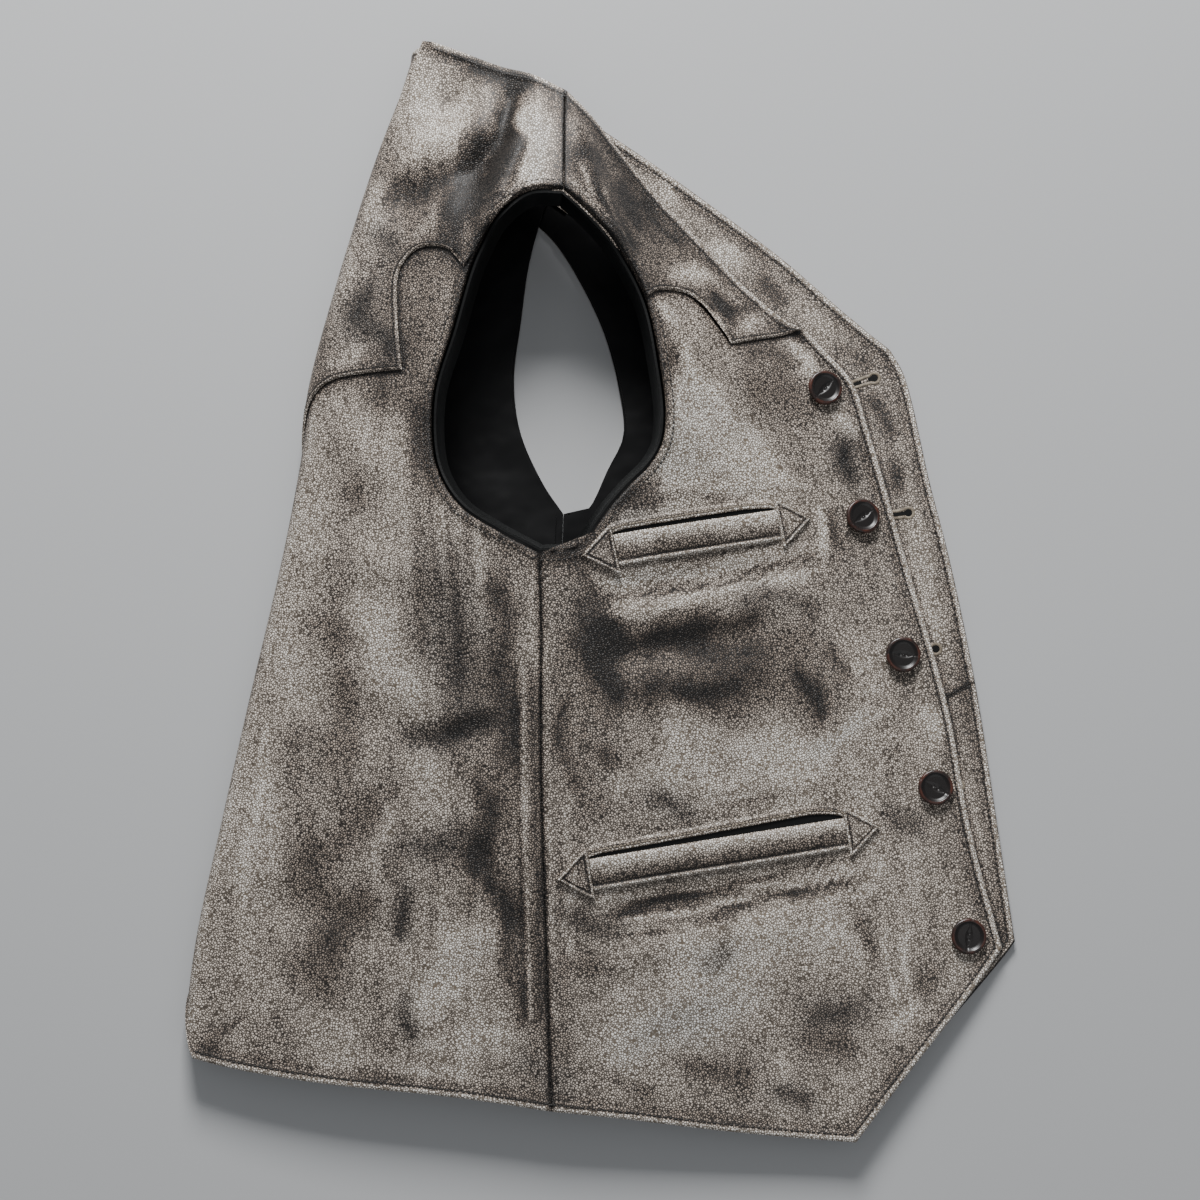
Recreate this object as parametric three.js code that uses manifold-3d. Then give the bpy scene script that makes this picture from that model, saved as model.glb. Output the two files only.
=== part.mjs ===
import * as THREE from 'three';
import Module from 'manifold-3d';
import { mergeVertices } from 'three/addons/utils/BufferGeometryUtils.js';

// Leather vest, folded in half down the centre back and laid on its left side.
// The right half is the upper layer, leather side up. The left half lies flat
// under it with its facing, buttonholes and lining up. Millimetres, Z up,
// hem towards -Y, neck towards +Y, centre back fold on -X, front edge on +X.

// Wall thicknesses and clearances
const LEATHER = 1.8;
const YOKE_LEATHER = 1.4;
const FACING_LEATHER = 1.4;
const LINING = 0.9;
const GAP = 0.3;
const LAY_GAP = 0.5;

// Turned and topstitched edge: a soft raised band round every free edge
const LIP_WIDTH = 5.5;
const LIP_RISE = 0.9;
const LIP_ROUND = 0.7;

// Dip beside a seam
const SEAM_DIP = 0.7;
const SEAM_WIDTH = 4;

// Plan centre of the garment, which becomes the origin
const CENTRE_X = 1.26;
const CENTRE_Y = 8.515;

// Cross sections of the upper layer, a row for each height y from hem to neck.
// The skin leaves the rolled fold at foldX, foldZ with the slope foldRise,
// passes over the side (ridge) and comes down to the front edge.
const SECTION_COLUMNS = ['y', 'foldX', 'foldZ', 'foldRise', 'ridgeX', 'ridgeZ', 'edgeX', 'edgeZ'];
const SECTIONS = [
  [-330, -236, 17, 0.06, -27, 20, 140, 16],
  [-277, -235, 18, 0.08, -28, 25, 184, 13],
  [-207, -229, 19, 0.12, -31, 33, 236, 7],
  [-130, -213, 22, 0.18, -33, 44, 217, 6.5],
  [-60, -198, 24, 0.24, -34, 53, 206, 6.5],
  [20, -180, 27, 0.30, -34, 64, 184, 6.5],
  [80, -169, 29, 0.34, -31, 70, 167, 7],
  [130, -162, 30, 0.36, -28, 74, 152, 8],
  [190, -146, 32, 0.36, -25, 78, 92, 16],
  [231, -134, 32, 0.34, -22, 78, 46, 27],
  [270, -122, 31, 0.28, -22, 66, 16, 37],
  [300, -112, 30, 0.22, -24, 49, -2, 42],
  [345, -98, 29, 0.14, -30, 36, -16, 36],
];

// Largest folds and ridges of the upper layer, by x0, y0, x1, y1, width, height:
// a soft ridge from (x0, y0) to (x1, y1) with its half width and its height,
// negative for a trough.
const FOLDS = [
  [-44, 290, -66, 210, 8, 4.0],
  [-56, 285, -74, 232, 11, -7.0],
  [-14, 282, 12, 200, 8, 2.5],
  [8, 276, 34, 214, 10, -2.5],
  [-90, 300, -78, 262, 12, -3.0],
  [8, -2, 112, 16, 9, -1.8],
  [6, -22, 122, -2, 9, 1.6],
  [0, -40, 96, -22, 10, -1.6],
  [-2, -192, 142, -166, 9, -1.8],
  [4, -214, 120, -192, 10, 1.6],
  [-48, -250, -50, -20, 6, -1.6],
  [-16, -250, -18, -20, 6, -1.4],
  [-196, -180, -120, -196, 12, -1.8],
  [-176, -60, -100, -84, 13, -2.0],
  [-160, 20, -98, 8, 12, 1.8],
  [148, 96, 176, 10, 9, -1.6],
  [172, -40, 196, -110, 9, -1.5],
  [96, 140, 60, 84, 12, 1.6],
];

// Plan outlines, x and y from hem to neck or from fold to front edge
const SIDE_SEAM = [[-28, -300], [-31, -209], [-34, -104], [-34, -16], [-35, 19]];
const BACK_ARMHOLE = [[-35, 19], [-59, 32], [-82, 48], [-96, 72], [-98, 113], [-87, 151],
  [-73, 196], [-58, 219], [-42, 231], [-21, 231]];
const FRONT_ARMHOLE = [[-35, 19], [-20, 20], [-9, 25], [-1, 36], [6, 46], [16, 58], [30, 73],
  [37, 86], [39, 104], [36, 131], [28, 170], [14, 197], [-2, 215], [-21, 231]];
const SHOULDER_SEAM = [[-21, 231], [-21, 265], [-21, 299]];
const BACK_NECK = [[-98, 335], [-86, 330], [-59, 317], [-41, 311], [-21, 299]];
const BACK_HEM = [[-236, -270], [-211, -276], [-161, -284], [-92, -291], [-61, -295], [-28, -300]];
const FRONT_HEM = [[-28, -300], [11, -304], [69, -311], [110, -315], [148, -318]];
const HEM_POINT = [[148, -318], [179, -279], [220, -229], [236, -207]];
const FRONT_EDGE = [[236, -207], [219, -138], [207, -66], [185, 17], [163, 98], [152, 132], [137, 149]];
const FRONT_NECK = [[137, 149], [122, 164], [112, 168], [90, 185], [64, 210], [38, 236],
  [12, 264], [-21, 299]];

// Outlines of the left half, which lies flat
const LEFT_SIDE_SEAM = [[-24, -299], [-26, -180], [-26, -60], [-22, 52]];
const LEFT_BACK_ARMHOLE = [[-22, 52], [-34, 70], [-48, 102], [-52, 134], [-48, 170],
  [-43, 208], [-38, 230]];
const LEFT_FRONT_ARMHOLE = [[-22, 52], [-10, 52], [5, 80], [14, 100], [11, 130], [2, 164],
  [-14, 198], [-28, 220], [-38, 230]];
const LEFT_SHOULDER = [[-38, 230], [-24, 266], [-10, 298]];
const LEFT_BACK_NECK = [[-90, 335], [-66, 325], [-36, 311], [-10, 298]];
const LEFT_BACK_HEM = [[-222, -271], [-190, -277], [-120, -287], [-24, -299]];
const LEFT_FRONT_HEM = [[-24, -299], [60, -306], [146, -315]];
const LEFT_HEM_POINT = [[146, -315], [190, -266], [238, -211], [244, -203]];
const LEFT_FRONT_EDGE = [[244, -203], [234, -126], [224, -53], [209, 27], [198, 73],
  [184, 137], [176, 152]];
const LEFT_FRONT_NECK = [[176, 152], [151, 173], [112, 208], [71, 240], [32, 269], [-10, 298]];

// Hem corner at the fold: the edge runs up round the roll by these heights
const HEM_LIFT_AT_EDGE = 34;
const HEM_LIFT_UNDER = 6;
const HEM_LIFT_FADE = 9;
const HEM_LIFT_ROUND = 1.5;

// Yoke edges, from the fold or armhole to the neck
const BACK_YOKE_EDGE = [[-200, 68], [-188, 93], [-178, 112], [-160, 127], [-137, 130], [-116, 130]];
const BACK_YOKE_ARCH = [[-116, 130], [-119, 159], [-119, 189], [-114, 198], [-107, 203],
  [-96, 203], [-86, 198], [-79, 188]];
const FRONT_YOKE_ARCH = [[27, 172], [33, 177], [43, 179], [53, 178], [64, 170], [70, 163], [78, 150]];
const FRONT_YOKE_EDGE = [[78, 150], [95, 155], [114, 160], [124, 164]];

// Pockets: centre line of the welt from its left to its right end
const WELT_HEIGHT = 17;
const WELT_THICK = 1.6;
const POCKETS = {
  upper: { x0: 9, y0: 22, x1: 108, y1: 43 },
  lower: { x0: -5, y0: -164, x1: 147, y1: -139 },
};
const TAB_HEIGHT = 30;
const TAB_LENGTH = 17;
const TAB_THICK = 1.3;

// Buttons on the front edge: x, y and how far the slot is turned, in degrees
const BUTTONS = [
  [135, 127, 45],
  [157, 49, 35],
  [180, -34, -5],
  [198, -113, -30],
  [216, -200, 80],
];
const BUTTON_RADIUS = 10.4;
const BUTTON_THICK = 3.6;
const SLOT_LENGTH = 11;
const SLOT_WIDTH = 2.6;
const THREAD_HOLE = 0.9;
const THREAD_SPACING = 2.4;

// Left facing: its width, the height of the seam across it, and the keyhole
// buttonholes by x, y and turn in degrees
const FACING_WIDTH = 56;
const FACING_SEAM_Y = -63;
const BUTTONHOLES = [
  [165, 134, 18],
  [185, 52, 8],
  [200, -30, 0],
  [211, -112, -4],
  [222, -192, -8],
];
const HOLE_LENGTH = 19;
const HOLE_SLIT = 1.6;
const HOLE_EYE = 2.2;
const EYE_STEPS = 8;

// Band of black leather that faces the right armhole and turns down into it
const BAND_DROP = 13;
const BAND_THICK = 1.4;
const BAND_GAP = 1.3;
const BAND_LEAN = 4;
const BAND_STEPS = [0, 0.5, 1];

const leather = (name) => new THREE.MeshStandardMaterial({
  name, color: 0x6b6157, roughness: 0.62, metalness: 0,
});
const dark = (name, color, roughness) => new THREE.MeshStandardMaterial({
  name, color, roughness, metalness: 0,
});
const blackCloth = () => dark('black satin', 0x101012, 0.45);
const blackLeather = () => dark('black leather', 0x17181a, 0.4);
const horn = () => dark('dark horn', 0x24130d, 0.22);

const wasm = await Module();
wasm.setup();

// Tables and smooth curves

function column(rows, columns, name) {
  return rows.map((row) => row[columns.indexOf(name)]);
}

// Cubic through (x, y) pairs with slopes from the neighbouring rows
function smooth(xs, ys) {
  const n = xs.length;
  const slope = xs.map((_, i) => {
    const a = Math.max(i - 1, 0);
    const b = Math.min(i + 1, n - 1);
    return (ys[b] - ys[a]) / (xs[b] - xs[a]);
  });
  return (x) => {
    let i = 0;
    while (i < n - 2 && x > xs[i + 1]) i += 1;
    const w = xs[i + 1] - xs[i];
    const t = Math.min(Math.max((x - xs[i]) / w, 0), 1);
    return hermite(t, w, ys[i], ys[i + 1], slope[i], slope[i + 1]);
  };
}

// Height at t along a span of width w between two heights with two slopes
function hermite(t, w, z0, z1, slope0, slope1) {
  const rise = t * t * (3 - 2 * t);
  const out = t * (1 - t) * (1 - t);
  const back = t * t * (t - 1);
  return z0 + (z1 - z0) * rise + w * (slope0 * out + slope1 * back);
}

// A smooth curve through plan points, walked by arc length from 0 to 1
function outline(points) {
  const flat = points.map(([x, y]) => new THREE.Vector3(x, y, 0));
  const curve = new THREE.CatmullRomCurve3(flat, false, 'centripetal');
  curve.arcLengthDivisions = 400;
  return (t) => {
    const p = curve.getPointAt(Math.min(Math.max(t, 0), 1));
    return [p.x, p.y];
  };
}

// Several outlines end to end, each taking the stretch up to its own mark
function chain(parts, marks) {
  const curves = parts.map(outline);
  return (t) => {
    let i = 0;
    while (i < marks.length - 1 && t > marks[i]) i += 1;
    const from = i === 0 ? 0 : marks[i - 1];
    return curves[i]((t - from) / (marks[i] - from));
  };
}

// Shape of the upper layer

const sectionY = column(SECTIONS, SECTION_COLUMNS, 'y');
const section = {};
for (const name of SECTION_COLUMNS.slice(1)) {
  section[name] = smooth(sectionY, column(SECTIONS, SECTION_COLUMNS, name));
}

// Height that the soft folds add at a point. Each is full over the middle of
// its length and dies away towards its ends.
const FOLD_FULL = 0.35;
const FOLD_END = 1.6;

function foldHeight(x, y) {
  let sum = 0;
  for (const [x0, y0, x1, y1, width, rise] of FOLDS) {
    const dx = x1 - x0;
    const dy = y1 - y0;
    const length = Math.hypot(dx, dy);
    const along = ((x - x0) * dx + (y - y0) * dy) / (length * length);
    const across = ((x - x0) * dy - (y - y0) * dx) / length;
    const past = Math.max(Math.abs(along - 0.5) - FOLD_FULL, 0) * length;
    sum += rise * Math.exp(-((across / width) ** 2) - (past / (FOLD_END * width)) ** 2);
  }
  return sum;
}

// Height of the outer skin of the upper layer above the floor. The soft folds
// fade out where the skin meets the roll.
const CALM_WIDTH = 15;

function height(x, y) {
  const ridgeX = section.ridgeX(y);
  const ridgeZ = section.ridgeZ(y);
  if (x < ridgeX) {
    const foldX = section.foldX(y);
    const w = ridgeX - foldX;
    const t = Math.max((x - foldX) / w, 0);
    const calm = Math.min(Math.max((x - foldX) / CALM_WIDTH, 0), 1);
    return hermite(t, w, section.foldZ(y), ridgeZ, section.foldRise(y), 0) + calm * foldHeight(x, y);
  }
  const w = section.edgeX(y) - ridgeX;
  const t = Math.min((x - ridgeX) / w, 1);
  return hermite(t, w, ridgeZ, section.edgeZ(y), 0, 0) + foldHeight(x, y);
}

// A point of the right half's outer skin, moved out along its normal
function onTop(x, y, out) {
  const step = 0.5;
  const normal = new THREE.Vector3(
    (height(x - step, y) - height(x + step, y)) / (2 * step),
    (height(x, y - step) - height(x, y + step)) / (2 * step),
    1,
  ).normalize();
  return new THREE.Vector3(x, y, height(x, y)).addScaledVector(normal, out);
}

// The roll at the fold: radius and the angle where the skin leaves it
function roll(y) {
  const lean = Math.atan(section.foldRise(y));
  const radius = section.foldZ(y) / (1 + Math.cos(lean));
  return { lean, radius, axisX: section.foldX(y) + radius * Math.sin(lean) };
}

// A point of the back, unrolled: s is x on the upper layer, then runs on round
// the fold and back along the flat left half
function onBack(s, y, out) {
  const foldX = section.foldX(y);
  if (s >= foldX) return onTop(s, y, out);
  const { lean, radius, axisX } = roll(y);
  const angle = lean + (foldX - s) / radius;
  if (angle > Math.PI) return new THREE.Vector3(axisX + (angle - Math.PI) * radius, y, -out);
  const reach = radius + out;
  return new THREE.Vector3(axisX - reach * Math.sin(angle), y, radius + reach * Math.cos(angle));
}

function onFlat(x, y, out) {
  return new THREE.Vector3(x, y, -out);
}

// Plan position inside four boundary curves: rows run straight from the left
// to the right curve, and bend to the bottom and top curves near those ends
function patch({ left, right, bottom, top, fade = 3 }) {
  const mix = (a, b, t) => [a[0] + (b[0] - a[0]) * t, a[1] + (b[1] - a[1]) * t];
  return (u, v) => {
    const row = mix(left(v), right(v), u);
    const bottomChord = mix(left(0), right(0), u);
    const topChord = mix(left(1), right(1), u);
    const low = bottom(u);
    const high = top(u);
    const a = (1 - v) ** fade;
    const b = v ** fade;
    return [0, 1].map((k) => row[k] + a * (low[k] - bottomChord[k]) + b * (high[k] - topChord[k]));
  };
}

// Stops from 0 to 1 along a length, close together under the lip at each end
const LIP_STOPS = [0, 0.2, 0.6, 1];

function stops(length, count, marks = []) {
  const start = LIP_STOPS.map((s) => (s * LIP_WIDTH) / length);
  const end = start.map((s) => 1 - s).reverse();
  const knots = [start.pop(), ...marks, end.shift()];
  const shares = [0, ...marks, 1];
  const middle = [];
  for (let k = 0; k < knots.length - 1; k += 1) {
    const n = Math.max(Math.round((shares[k + 1] - shares[k]) * count), 1);
    for (let i = 0; i < n; i += 1) middle.push(knots[k] + ((knots[k + 1] - knots[k]) * i) / n);
  }
  return [...start, ...middle, knots[knots.length - 1], ...end];
}

// Height of the lip at a distance in from a turned edge: an arch that starts
// part way up, with a rounded outer corner
const LIP_START = 0.15;
const LIP_CORNER = 0.2;

function lip(distance) {
  if (distance >= LIP_WIDTH) return 0;
  const t = distance / LIP_WIDTH;
  const arch = Math.sin(Math.PI * Math.min(t + LIP_START * (1 - t), 1));
  const corner = Math.max(1 - t / LIP_CORNER, 0);
  return LIP_RISE * arch - LIP_ROUND * corner * corner;
}

// Depth of the dip beside a seam
function seamDip(distance) {
  return -SEAM_DIP * Math.max(1 - distance / SEAM_WIDTH, 0);
}

// Even stops from low to high with one stop exactly at a mark
function evenly(low, high, count, mark) {
  const before = Math.max(Math.round((count * (mark - low)) / (high - low)), 1);
  const after = Math.max(count - before, 1);
  const first = Array.from({ length: before }, (_, i) => low + ((mark - low) * i) / before);
  const second = Array.from({ length: after + 1 }, (_, i) => mark + ((high - mark) * i) / after);
  return [...first, ...second];
}

function sample(curve, count) {
  return Array.from({ length: count + 1 }, (_, i) => curve(i / count));
}

// One closed solid from an outer and an inner grid of points
function wall(outer, inner, ring = false) {
  const rows = outer.length;
  const cols = outer[0].length;
  const positions = [];
  for (const grid of [outer, inner]) {
    for (const row of grid) for (const p of row) positions.push(p.x, p.y, p.z);
  }
  const index = [];
  const at = (side, i, j) => side * rows * cols + (i % rows) * cols + j;
  const quad = (a, b, c, d) => index.push(a, b, c, a, c, d);
  const lastRow = ring ? rows : rows - 1;
  for (let i = 0; i < lastRow; i += 1) {
    for (let j = 0; j < cols - 1; j += 1) {
      quad(at(0, i, j), at(0, i, j + 1), at(0, i + 1, j + 1), at(0, i + 1, j));
      quad(at(1, i, j), at(1, i + 1, j), at(1, i + 1, j + 1), at(1, i, j + 1));
    }
    quad(at(0, i, 0), at(0, i + 1, 0), at(1, i + 1, 0), at(1, i, 0));
    quad(at(0, i, cols - 1), at(1, i, cols - 1), at(1, i + 1, cols - 1), at(0, i + 1, cols - 1));
  }
  for (let j = 0; j < cols - 1 && !ring; j += 1) {
    quad(at(0, 0, j), at(1, 0, j), at(1, 0, j + 1), at(0, 0, j + 1));
    quad(at(0, rows - 1, j), at(0, rows - 1, j + 1), at(1, rows - 1, j + 1), at(1, rows - 1, j));
  }
  const geometry = new THREE.BufferGeometry();
  geometry.setAttribute('position', new THREE.Float32BufferAttribute(positions, 3));
  geometry.setIndex(index);
  return facingOut(geometry);
}

function facingOut(geometry) {
  const p = geometry.getAttribute('position');
  const index = geometry.getIndex().array;
  const [a, b, c] = [new THREE.Vector3(), new THREE.Vector3(), new THREE.Vector3()];
  let volume = 0;
  for (let i = 0; i < index.length; i += 3) {
    a.fromBufferAttribute(p, index[i]);
    b.fromBufferAttribute(p, index[i + 1]);
    c.fromBufferAttribute(p, index[i + 2]);
    volume += a.dot(b.cross(c));
  }
  if (volume < 0) index.reverse();
  return geometry;
}

// Grid of places inside a patch: plan x and y, and the rise of its edge lips
function gridOf(place, edges, rows, cols, marksV = [], marksU = []) {
  return stops(PANEL_LENGTH, rows, marksV).map((v) => {
    const [ax, ay] = place(0, v);
    const [bx, by] = place(1, v);
    const width = Math.hypot(bx - ax, by - ay);
    return stops(width, cols, marksU).map((u) => {
      const [x, y] = place(u, v);
      const rise = edges.left(u * width, v) + edges.right((1 - u) * width, v)
        + edges.bottom(v * PANEL_LENGTH, u) + edges.top((1 - v) * PANEL_LENGTH, u);
      return { x, y, rise: Math.min(rise, LIP_RISE) };
    });
  });
}

// The solid between two distances from the skin, over the same grid of places
function slab(grid, skin, low, high, lips = true) {
  const layer = (out, rise) => grid.map((row) => row.map((p) => skin(p.x, p.y, out + (rise ? p.rise : 0))));
  return wall(layer(high, true), layer(low, lips));
}

// Booleans

function toSolid(geometry) {
  const bare = geometry.clone();
  for (const name of ['normal', 'uv']) bare.deleteAttribute(name);
  const merged = mergeVertices(bare, 1e-4);
  return new wasm.Manifold(new wasm.Mesh({
    numProp: 3,
    vertProperties: merged.getAttribute('position').array,
    triVerts: Uint32Array.from(merged.getIndex().array),
  }));
}

function toGeometry(solid) {
  const mesh = solid.getMesh();
  const geometry = new THREE.BufferGeometry();
  geometry.setAttribute('position', new THREE.Float32BufferAttribute(mesh.vertProperties, 3));
  geometry.setIndex(Array.from(mesh.triVerts));
  return geometry;
}

// Upright prism over a plan outline, between two heights
const BELOW = -5;
const ABOVE = 120;

function prism(points, low, high) {
  const shape = new THREE.Shape(points.map(([x, y]) => new THREE.Vector2(x, y)));
  const geometry = new THREE.ExtrudeGeometry(shape, { depth: high - low, bevelEnabled: false });
  return geometry.translate(0, 0, low);
}

// The stretch of a solid inside a plan outline, with slivers at the cut merged
const SLIVER = 0.06;

function within(geometry, points, low = BELOW) {
  const cut = toSolid(geometry).intersect(toSolid(prism(points, low, ABOVE)));
  return toGeometry(cut.simplify(SLIVER));
}

const group = new THREE.Group();
group.position.set(-CENTRE_X, -CENTRE_Y, 0);

function add(name, geometry, material) {
  geometry.computeVertexNormals();
  const mesh = new THREE.Mesh(geometry, material);
  mesh.name = name;
  group.add(mesh);
  return mesh;
}

// Boundaries of the panels. The seams stand half a gap back on each side.

const SEAM_BACK = GAP / 2;
const PANEL_LENGTH = 560;
const EDGE_FADE = 4;
const shiftX = (curve, dx) => (t) => {
  const [x, y] = curve(t);
  return [x + dx, y];
};

// Shares of a panel's edge: side seam to armhole, neck to shoulder, hem to
// hem point, and front edge to neck
const SIDE_MARK = 0.52;
const NECK_MARK = 0.62;
const HEM_MARK = 0.56;
const FRONT_MARK = 0.6;

const backRight = shiftX(chain([SIDE_SEAM, BACK_ARMHOLE], [SIDE_MARK, 1]), -SEAM_BACK);
const frontLeft = shiftX(chain([SIDE_SEAM, FRONT_ARMHOLE], [SIDE_MARK, 1]), SEAM_BACK);
const shoulderDown = outline([...SHOULDER_SEAM].reverse());
const backNeck = outline(BACK_NECK);

// Fold line of the back: y by v, and x where the skin leaves the roll
const FOLD_HEM_Y = -270;
const FOLD_MIDDLE_Y = 36;
const FOLD_NECK_Y = 335;
const foldY = smooth([0, SIDE_MARK, 1], [FOLD_HEM_Y, FOLD_MIDDLE_Y, FOLD_NECK_Y]);
const foldLine = (v) => [section.foldX(foldY(v)), foldY(v)];

const backUpper = patch({
  left: foldLine,
  right: backRight,
  bottom: outline(BACK_HEM),
  top: (u) => {
    if (u <= NECK_MARK) return backNeck(u / NECK_MARK);
    const [x, y] = shoulderDown((u - NECK_MARK) / (1 - NECK_MARK));
    return [x - SEAM_BACK, y];
  },
  fade: EDGE_FADE,
});

const leftBackNeck = outline(LEFT_BACK_NECK);
const leftShoulderDown = outline([...LEFT_SHOULDER].reverse());
const backLower = patch({
  left: (v) => [roll(foldY(v)).axisX, foldY(v)],
  right: shiftX(chain([LEFT_SIDE_SEAM, LEFT_BACK_ARMHOLE], [SIDE_MARK, 1]), -SEAM_BACK),
  bottom: outline([[roll(FOLD_HEM_Y).axisX, FOLD_HEM_Y], ...LEFT_BACK_HEM]),
  top: (u) => {
    if (u <= NECK_MARK) return leftBackNeck(u / NECK_MARK);
    const [x, y] = leftShoulderDown((u - NECK_MARK) / (1 - NECK_MARK));
    return [x - SEAM_BACK, y];
  },
  fade: EDGE_FADE,
});

const rightFront = patch({
  left: frontLeft,
  right: chain([FRONT_EDGE, FRONT_NECK], [FRONT_MARK, 1]),
  bottom: chain([FRONT_HEM, HEM_POINT], [HEM_MARK, 1]),
  top: shiftX(outline(SHOULDER_SEAM), SEAM_BACK),
  fade: EDGE_FADE,
});

const leftFront = patch({
  left: shiftX(chain([LEFT_SIDE_SEAM, LEFT_FRONT_ARMHOLE], [SIDE_MARK, 1]), SEAM_BACK),
  right: chain([LEFT_FRONT_EDGE, LEFT_FRONT_NECK], [FRONT_MARK, 1]),
  bottom: chain([LEFT_FRONT_HEM, LEFT_HEM_POINT], [HEM_MARK, 1]),
  top: shiftX(outline(LEFT_SHOULDER), SEAM_BACK),
  fade: EDGE_FADE,
});

// Edge treatments: a lip on a free edge, a dip at a seam
const sideOrArmhole = (d, v) => (v > SIDE_MARK ? lip(d) : seamDip(d));
const neckOrShoulder = (d, u) => (u < NECK_MARK ? lip(d) : seamDip(d));
const plain = () => 0;
const turned = (d) => lip(d);
const seamed = (d) => seamDip(d);

// Back panel: flat left half, roll at the fold and the upper half in one wall

const BACK_ROWS = 24;
const BACK_COLS = 9;
const ROLL_STEPS = 7;

const upperGrid = gridOf(
  backUpper,
  { left: plain, right: sideOrArmhole, bottom: turned, top: neckOrShoulder },
  BACK_ROWS, BACK_COLS, [SIDE_MARK], [NECK_MARK],
);
const rowStops = stops(PANEL_LENGTH, BACK_ROWS, [SIDE_MARK]);
const flatStops = evenly(0, 1, 5, NECK_MARK);
const placesOf = (place, vs, us) => vs.map((v) => us.map((u) => {
  const [x, y] = place(u, v);
  return { x, y, rise: 0 };
}));
const lowerGrid = placesOf(backLower, rowStops, flatStops);

// Unrolled places round the fold, with the hem lifted at the corner
function rollPlaces(row, i) {
  const v = rowStops[i];
  const fade = (1 - v) ** HEM_LIFT_FADE;
  const y = row[0].y;
  const { lean, radius } = roll(y);
  return Array.from({ length: ROLL_STEPS }, (_, k) => {
    const turn = (k + 1) / (ROLL_STEPS + 1);
    const edge = Math.sin(Math.PI * turn) ** HEM_LIFT_ROUND * HEM_LIFT_AT_EDGE;
    const under = turn * HEM_LIFT_UNDER;
    const rise = turn < 0.5 ? lip(v * PANEL_LENGTH) : 0;
    return { x: row[0].x - (Math.PI - lean) * radius * turn, y: y + fade * (edge + under), rise };
  });
}

// Unrolled x of a place on the flat left half
function unrolledFlat({ x, y }) {
  const { lean, radius, axisX } = roll(y);
  return { x: section.foldX(y) - (Math.PI - lean) * radius - Math.max(x - axisX, 0), y, rise: 0 };
}

const backGrid = upperGrid.map((row, i) => [
  ...lowerGrid[i].map(unrolledFlat).reverse(),
  ...rollPlaces(row, i).reverse(),
  ...row,
]);
add('back_panel', slab(backGrid, onBack, -LEATHER, 0, false), leather('back leather'));

// Right front, the upper layer from the side seam to the front edge

const FRONT_ROWS = 24;
const FRONT_COLS = 9;
const FRONT_MARKS = [SIDE_MARK, FRONT_MARK];
const frontEdges = { left: sideOrArmhole, right: turned, bottom: turned, top: seamed };
const frontGrid = gridOf(rightFront, frontEdges, FRONT_ROWS, FRONT_COLS, FRONT_MARKS, [HEM_MARK]);
const frontWall = slab(frontGrid, onTop, -LEATHER, 0, false);
const frontMesh = add('right_front', frontWall, leather('right front leather'));

// Left front, flat under the right front

const FLAT_ROWS = 16;
const FLAT_COLS = 5;
const noEdges = { left: plain, right: plain, bottom: plain, top: plain };
const leftGrid = gridOf(leftFront, noEdges, FLAT_ROWS, FLAT_COLS, FRONT_MARKS, [HEM_MARK]);
add('left_front', slab(leftGrid, onFlat, -LEATHER, 0, false), leather('left front leather'));

// Yokes: leather laid over the upper part of each panel, made from its points

const PLAN_LEFT = -300;
const PLAN_RIGHT = 300;
const PLAN_TOP = 420;
const PLAN_BOTTOM = -400;

// Outline that follows an edge and runs out past the garment round the rest
function yokeOutline(edges, steps) {
  const edge = edges.flatMap((points, i) => sample(outline(points), steps[i]).slice(i));
  const first = edge[0];
  const last = edge[edge.length - 1];
  const far = [[PLAN_RIGHT, last[1]], [PLAN_RIGHT, PLAN_TOP], [PLAN_LEFT, PLAN_TOP]];
  return [[PLAN_LEFT, first[1]], ...edge, ...far];
}
const yokeOver = (grid, skin) => slab(grid, skin, LAY_GAP, LAY_GAP + YOKE_LEATHER);
const YOKE_LOW = 6;
const backYokeOutline = yokeOutline([BACK_YOKE_EDGE, BACK_YOKE_ARCH], [10, 16]);
const frontYokeOutline = yokeOutline([FRONT_YOKE_ARCH, FRONT_YOKE_EDGE], [12, 6]);
add('back_yoke', within(yokeOver(backGrid, onBack), backYokeOutline, YOKE_LOW), leather('yoke leather'));
add('right_front_yoke', within(yokeOver(frontGrid, onTop), frontYokeOutline), leather('yoke leather'));

// Pockets: a welt strip with an arrow tab stitched over each end

function pocketFrame({ x0, y0, x1, y1 }) {
  const length = Math.hypot(x1 - x0, y1 - y0);
  const ax = (x1 - x0) / length;
  const ay = (y1 - y0) / length;
  const place = (along, up) => [x0 + ax * along - ay * up, y0 + ay * along + ax * up];
  return { length, place };
}

// The front's rows bunch up at the armhole's corner, so the tab there has a
// sparser grid of its own, in rows from its wide base to its narrow blunt tip
const TAB_STEPS = 4;
const TAB_TIP = 0.8;
const TAB_GAP = 0.7;

function tabByArmhole(place) {
  const steps = Array.from({ length: TAB_STEPS + 1 }, (_, i) => i / TAB_STEPS);
  const grid = steps.map((t) => {
    const half = THREE.MathUtils.lerp(TAB_HEIGHT, TAB_TIP, t) / 2;
    return steps.map((s) => {
      const [x, y] = place(THREE.MathUtils.lerp(-TAB_GAP, -TAB_LENGTH, t), half * (2 * s - 1));
      return { x, y, rise: 0 };
    });
  });
  return slab(grid, onTop, LAY_GAP, LAY_GAP + TAB_THICK);
}

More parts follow.
